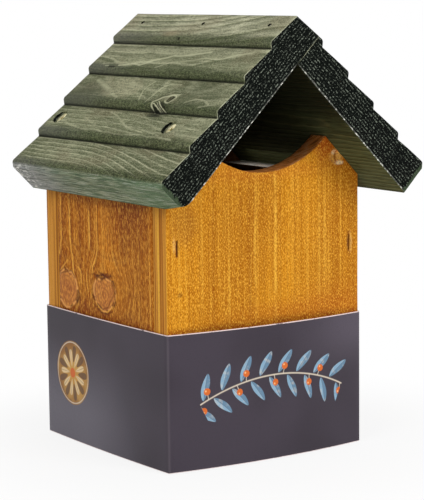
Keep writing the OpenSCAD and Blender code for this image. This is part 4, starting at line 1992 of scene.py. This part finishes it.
    def finish(self, side: Side) -> RoofFinish:
        """Gives the green stain of a roof board.

        Args:
            side: Which board it is. The left one shows in the photograph.

        Returns:
            The finish.
        """
        if side is Side.RIGHT:
            growth = Growth(ring=2.9, pith_across=50, pith_depth=-20, wave=2, ripple=2, seed=5,
                            line_width=0.2, calm=48)
            return RoofFinish("green_stain_right", side, self.sizes, growth)
        growth = Growth(ring=2.7, pith_across=40, pith_depth=-27, wave=1.2, ripple=2.6, fan=(20, -95, 0.3),
                        seed=2, line_width=0.2, calm=34, knots=(Knot(-30.0, 48.4, 4.0, 2.6),))
        dark = (16, 16, 10)
        spots = (Mark(3.2, 9.0, 0.9, 1.3, dark, 0.9, 0.3), Mark(56, -25, 4.4, 8.5, dark, 0.85, 0.5),
                 Mark(-1, 22, 2.2, 7, (150, 134, 104), 0.5, 0.8), Mark(60, -22, 1.2, 7, dark, 0.6),
                 Mark(48, 66, 8, 22, (76, 78, 62), 0.6, 0.7), Mark(43, -54, 11, 24, (70, 76, 54), 0.42, 0.8),
                 Mark(17, -25, 12, 60, (84, 90, 62), 0.22, 0.9))
        streaks = EYE_LINES + SWEEP_LINES + CLOSE_LINES + FLAME_LINES
        return RoofFinish("green_stain_left", side, self.sizes, growth, blotches=((43, 34, 22, 9),),
                          spots=spots, streaks=streaks + FOURTH_COURSE_LINES + SECOND_COURSE_LINES)


@dataclass
class Sleeve:
    """The card sleeve round the lower part of the box."""

    sizes: SleeveSizes
    box: BoxSizes
    lap_inset: float = 0.0004

    def build(self) -> None:
        """Builds and dresses the sleeve."""
        s = self.sizes
        solid = Solid.block((-s.half_width, s.front, s.bottom), (s.half_width, s.back, s.top))
        mesh = solid.mesh
        ends = [face for face in mesh.faces if abs(face.normal.z) > 0.5]
        bmesh.ops.delete(mesh, geom=ends, context="FACES_ONLY")
        solid.bevel(lambda edge: abs(edge.verts[0].co.z - edge.verts[1].co.z) > 0.01, s.corner, 4)
        solid.score(s.grid, *AXES).work(self.bow).outward()
        bmesh.ops.solidify(mesh, geom=mesh.faces[:], thickness=s.card)
        solid.outward()
        edge = self.box.half_width
        lap = Solid.block((edge - s.lap, s.back - 0.001, s.bottom + self.lap_inset),
                          (edge, s.back - s.card - 0.00005, s.top - self.lap_inset))
        solid.add(lap.ease(0.0001, 1))
        solid.piece("sleeve", CardFinish("printed_card", s).material(), "grey_card", "card_sleeve", smooth=45)

    def bow(self, place: Vector) -> Vector:
        """Gives how far the card stands off the boards at a place.

        Args:
            place: Place on the flat card.

        Returns:
            The shift of that place.
        """
        s = self.sizes
        share_x = 1 - (place.x / s.half_width) ** 2
        share_y = 1 - ((place.y - (s.front + s.back) / 2) / ((s.back - s.front) / 2)) ** 2
        shift = Vector()
        if place.y < s.front + 1e-4:
            shift.y -= s.bow_front * share_x
        if abs(place.x) > s.half_width - 1e-4:
            shift.x += math.copysign(s.bow_side, place.x) * share_y
        return shift


@dataclass
class Studio:
    """The camera at the photograph's angle, a pale floor and soft light."""

    focal: float = 141.09
    sensor: float = 36.0
    yaw: float = 0.593336
    pitch: float = 0.135518
    roll: float = -0.0110
    eye: Point = (-0.64893, -0.95953, 0.27431)
    sky: float = 0.47
    pale: Colour = (245, 245, 245)
    shadow_ring: Place = (95, 240)
    shadow_share: float = 0.16

    def camera(self) -> None:
        """Places the camera."""
        sin, cos = math.sin, math.cos
        ahead = Vector((sin(self.yaw) * cos(self.pitch), cos(self.yaw) * cos(self.pitch), -sin(self.pitch)))
        right = Vector((cos(self.yaw), -sin(self.yaw), 0))
        up = right.cross(ahead)
        across = right * cos(self.roll) + up * sin(self.roll)
        rise = up * cos(self.roll) - right * sin(self.roll)
        data = bpy.data.cameras.new("camera")
        data.lens, data.sensor_width, data.sensor_fit, data.clip_start = self.focal, self.sensor, "AUTO", 0.05
        made = placed("camera", data)
        facing = Matrix((across, rise, -ahead)).transposed()
        made.matrix_world = Matrix.Translation(self.eye) @ facing.to_4x4()
        bpy.context.scene.camera = made

    def seen_white(self, tree: bpy.types.NodeTree) -> Socket:
        """Gives 1 to rays that come from the camera, a gloss or a clear piece.

        Args:
            tree: Node tree that the value goes into.

        Returns:
            The value's socket.
        """
        path = tree.nodes.new("ShaderNodeLightPath")
        total = path.outputs["Is Camera Ray"]
        for name in ("Is Glossy Ray", "Is Transmission Ray"):
            either = tree.nodes.new("ShaderNodeMath")
            either.operation = "MAXIMUM"
            tree.links.new(total, either.inputs[0])
            tree.links.new(path.outputs[name], either.inputs[1])
            total = either.outputs[0]
        return total

    def world(self) -> None:
        """Makes the even light from all round, which the camera sees as white."""
        world = bpy.data.worlds.new("studio")
        world.use_nodes = True
        bpy.context.scene.world = world
        tree = world.node_tree
        glow = tree.nodes["Background"]
        glow.inputs["Color"].default_value = (1, 1, 1, 1)
        spread = tree.nodes.new("ShaderNodeMapRange")
        spread.inputs["To Min"].default_value = self.sky
        spread.inputs["To Max"].default_value = 1.0
        tree.links.new(self.seen_white(tree), spread.inputs["Value"])
        tree.links.new(spread.outputs[0], glow.inputs["Strength"])

    def floor(self) -> None:
        """Lays the floor, which keeps the box's shadow close by and fades to white further off."""
        solid = Solid()
        bmesh.ops.create_grid(solid.mesh, x_segments=1, y_segments=1, size=3)
        r = Recipe("studio_floor")
        r.feed(r.shader.inputs["Base Color"], self.pale)
        r.feed(r.shader.inputs["Roughness"], 0.9)
        tree = r.material.node_tree
        away = r.x.reach(r.y).step(*self.shadow_ring) * self.shadow_share + (1 - self.shadow_share)
        mixed = r.node("ShaderNodeMixShader", away * Term(r, self.seen_white(tree)), r.shader.outputs[0],
                       r.node("ShaderNodeEmission").outputs[0])
        r.feed(tree.nodes["Material Output"].inputs["Surface"], mixed.outputs[0])
        data = solid.data("floor")
        data.materials.append(r.material)
        placed("floor", data)

    def lamp(self, name: str, at: Point, size: Place, power: float, target: Point = (0, 0, 0.12)) -> None:
        """Hangs a soft lamp that faces the box, or a place on it.

        Args:
            name: Name of the lamp.
            at: Its place.
            size: Its width and height.
            power: Its power in watts.
            target: Place that it faces.
        """
        data = bpy.data.lights.new(name, "AREA")
        data.shape = "RECTANGLE"
        data.size, data.size_y = size
        data.energy = power
        made = placed(name, data)
        facing = (Vector(target) - Vector(at)).to_track_quat("-Z", "Y")
        made.matrix_world = Matrix.Translation(at) @ facing.to_matrix().to_4x4()
        made.visible_camera = False

    def build(self) -> None:
        """Sets up the whole studio."""
        self.camera()
        self.world()
        self.floor()
        self.lamp("key", (0.35, -1.5, 1.0), (0.9, 0.9), 16)
        self.lamp("fill", (-1.4, -0.6, 1.1), (0.9, 0.9), 9)
        self.lamp("opening", (0.0552, 0, 0.1705), (0.004, 0.1), 0.0024, target=(0.0552, 0, 0.1))
        bpy.context.scene.view_settings.view_transform = "Standard"


def corners(pair: tuple[Vector, Vector]) -> list[list[float]]:
    """Turns two corners into plain lists of numbers."""
    return [list(corner) for corner in pair]


def main() -> None:
    """Builds the whole scene in order."""
    logging.basicConfig(level=logging.INFO, format="%(name)s: %(message)s")
    noise.seed_set(SEED)
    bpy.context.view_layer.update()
    box, roof, fixings = BoxSizes.read(), RoofSizes.read(), Fixings()
    walls = Walls(box, roof, fixings)
    walls.build()
    Roof(roof, box, fixings).build()
    steel = MetalFinish("stained_steel_wire", (104, 46, 18), (60, 22, 8), rough=0.5, metallic=0.5).material()
    for name, node, places in (("gable_staples", "wall_staples", walls.staple_places()),
                               ("floor_board_staples", "floor_staples", walls.floor_staple_places())):
        staples = Solid()
        for place in places:
            staples.add(fixings.staple().turn(place))
        staples.piece(name, steel, "bright_wire", node)
    Sleeve(SleeveSizes.read(), box).build()
    Studio().build()


if __name__ == "__main__":
    main()
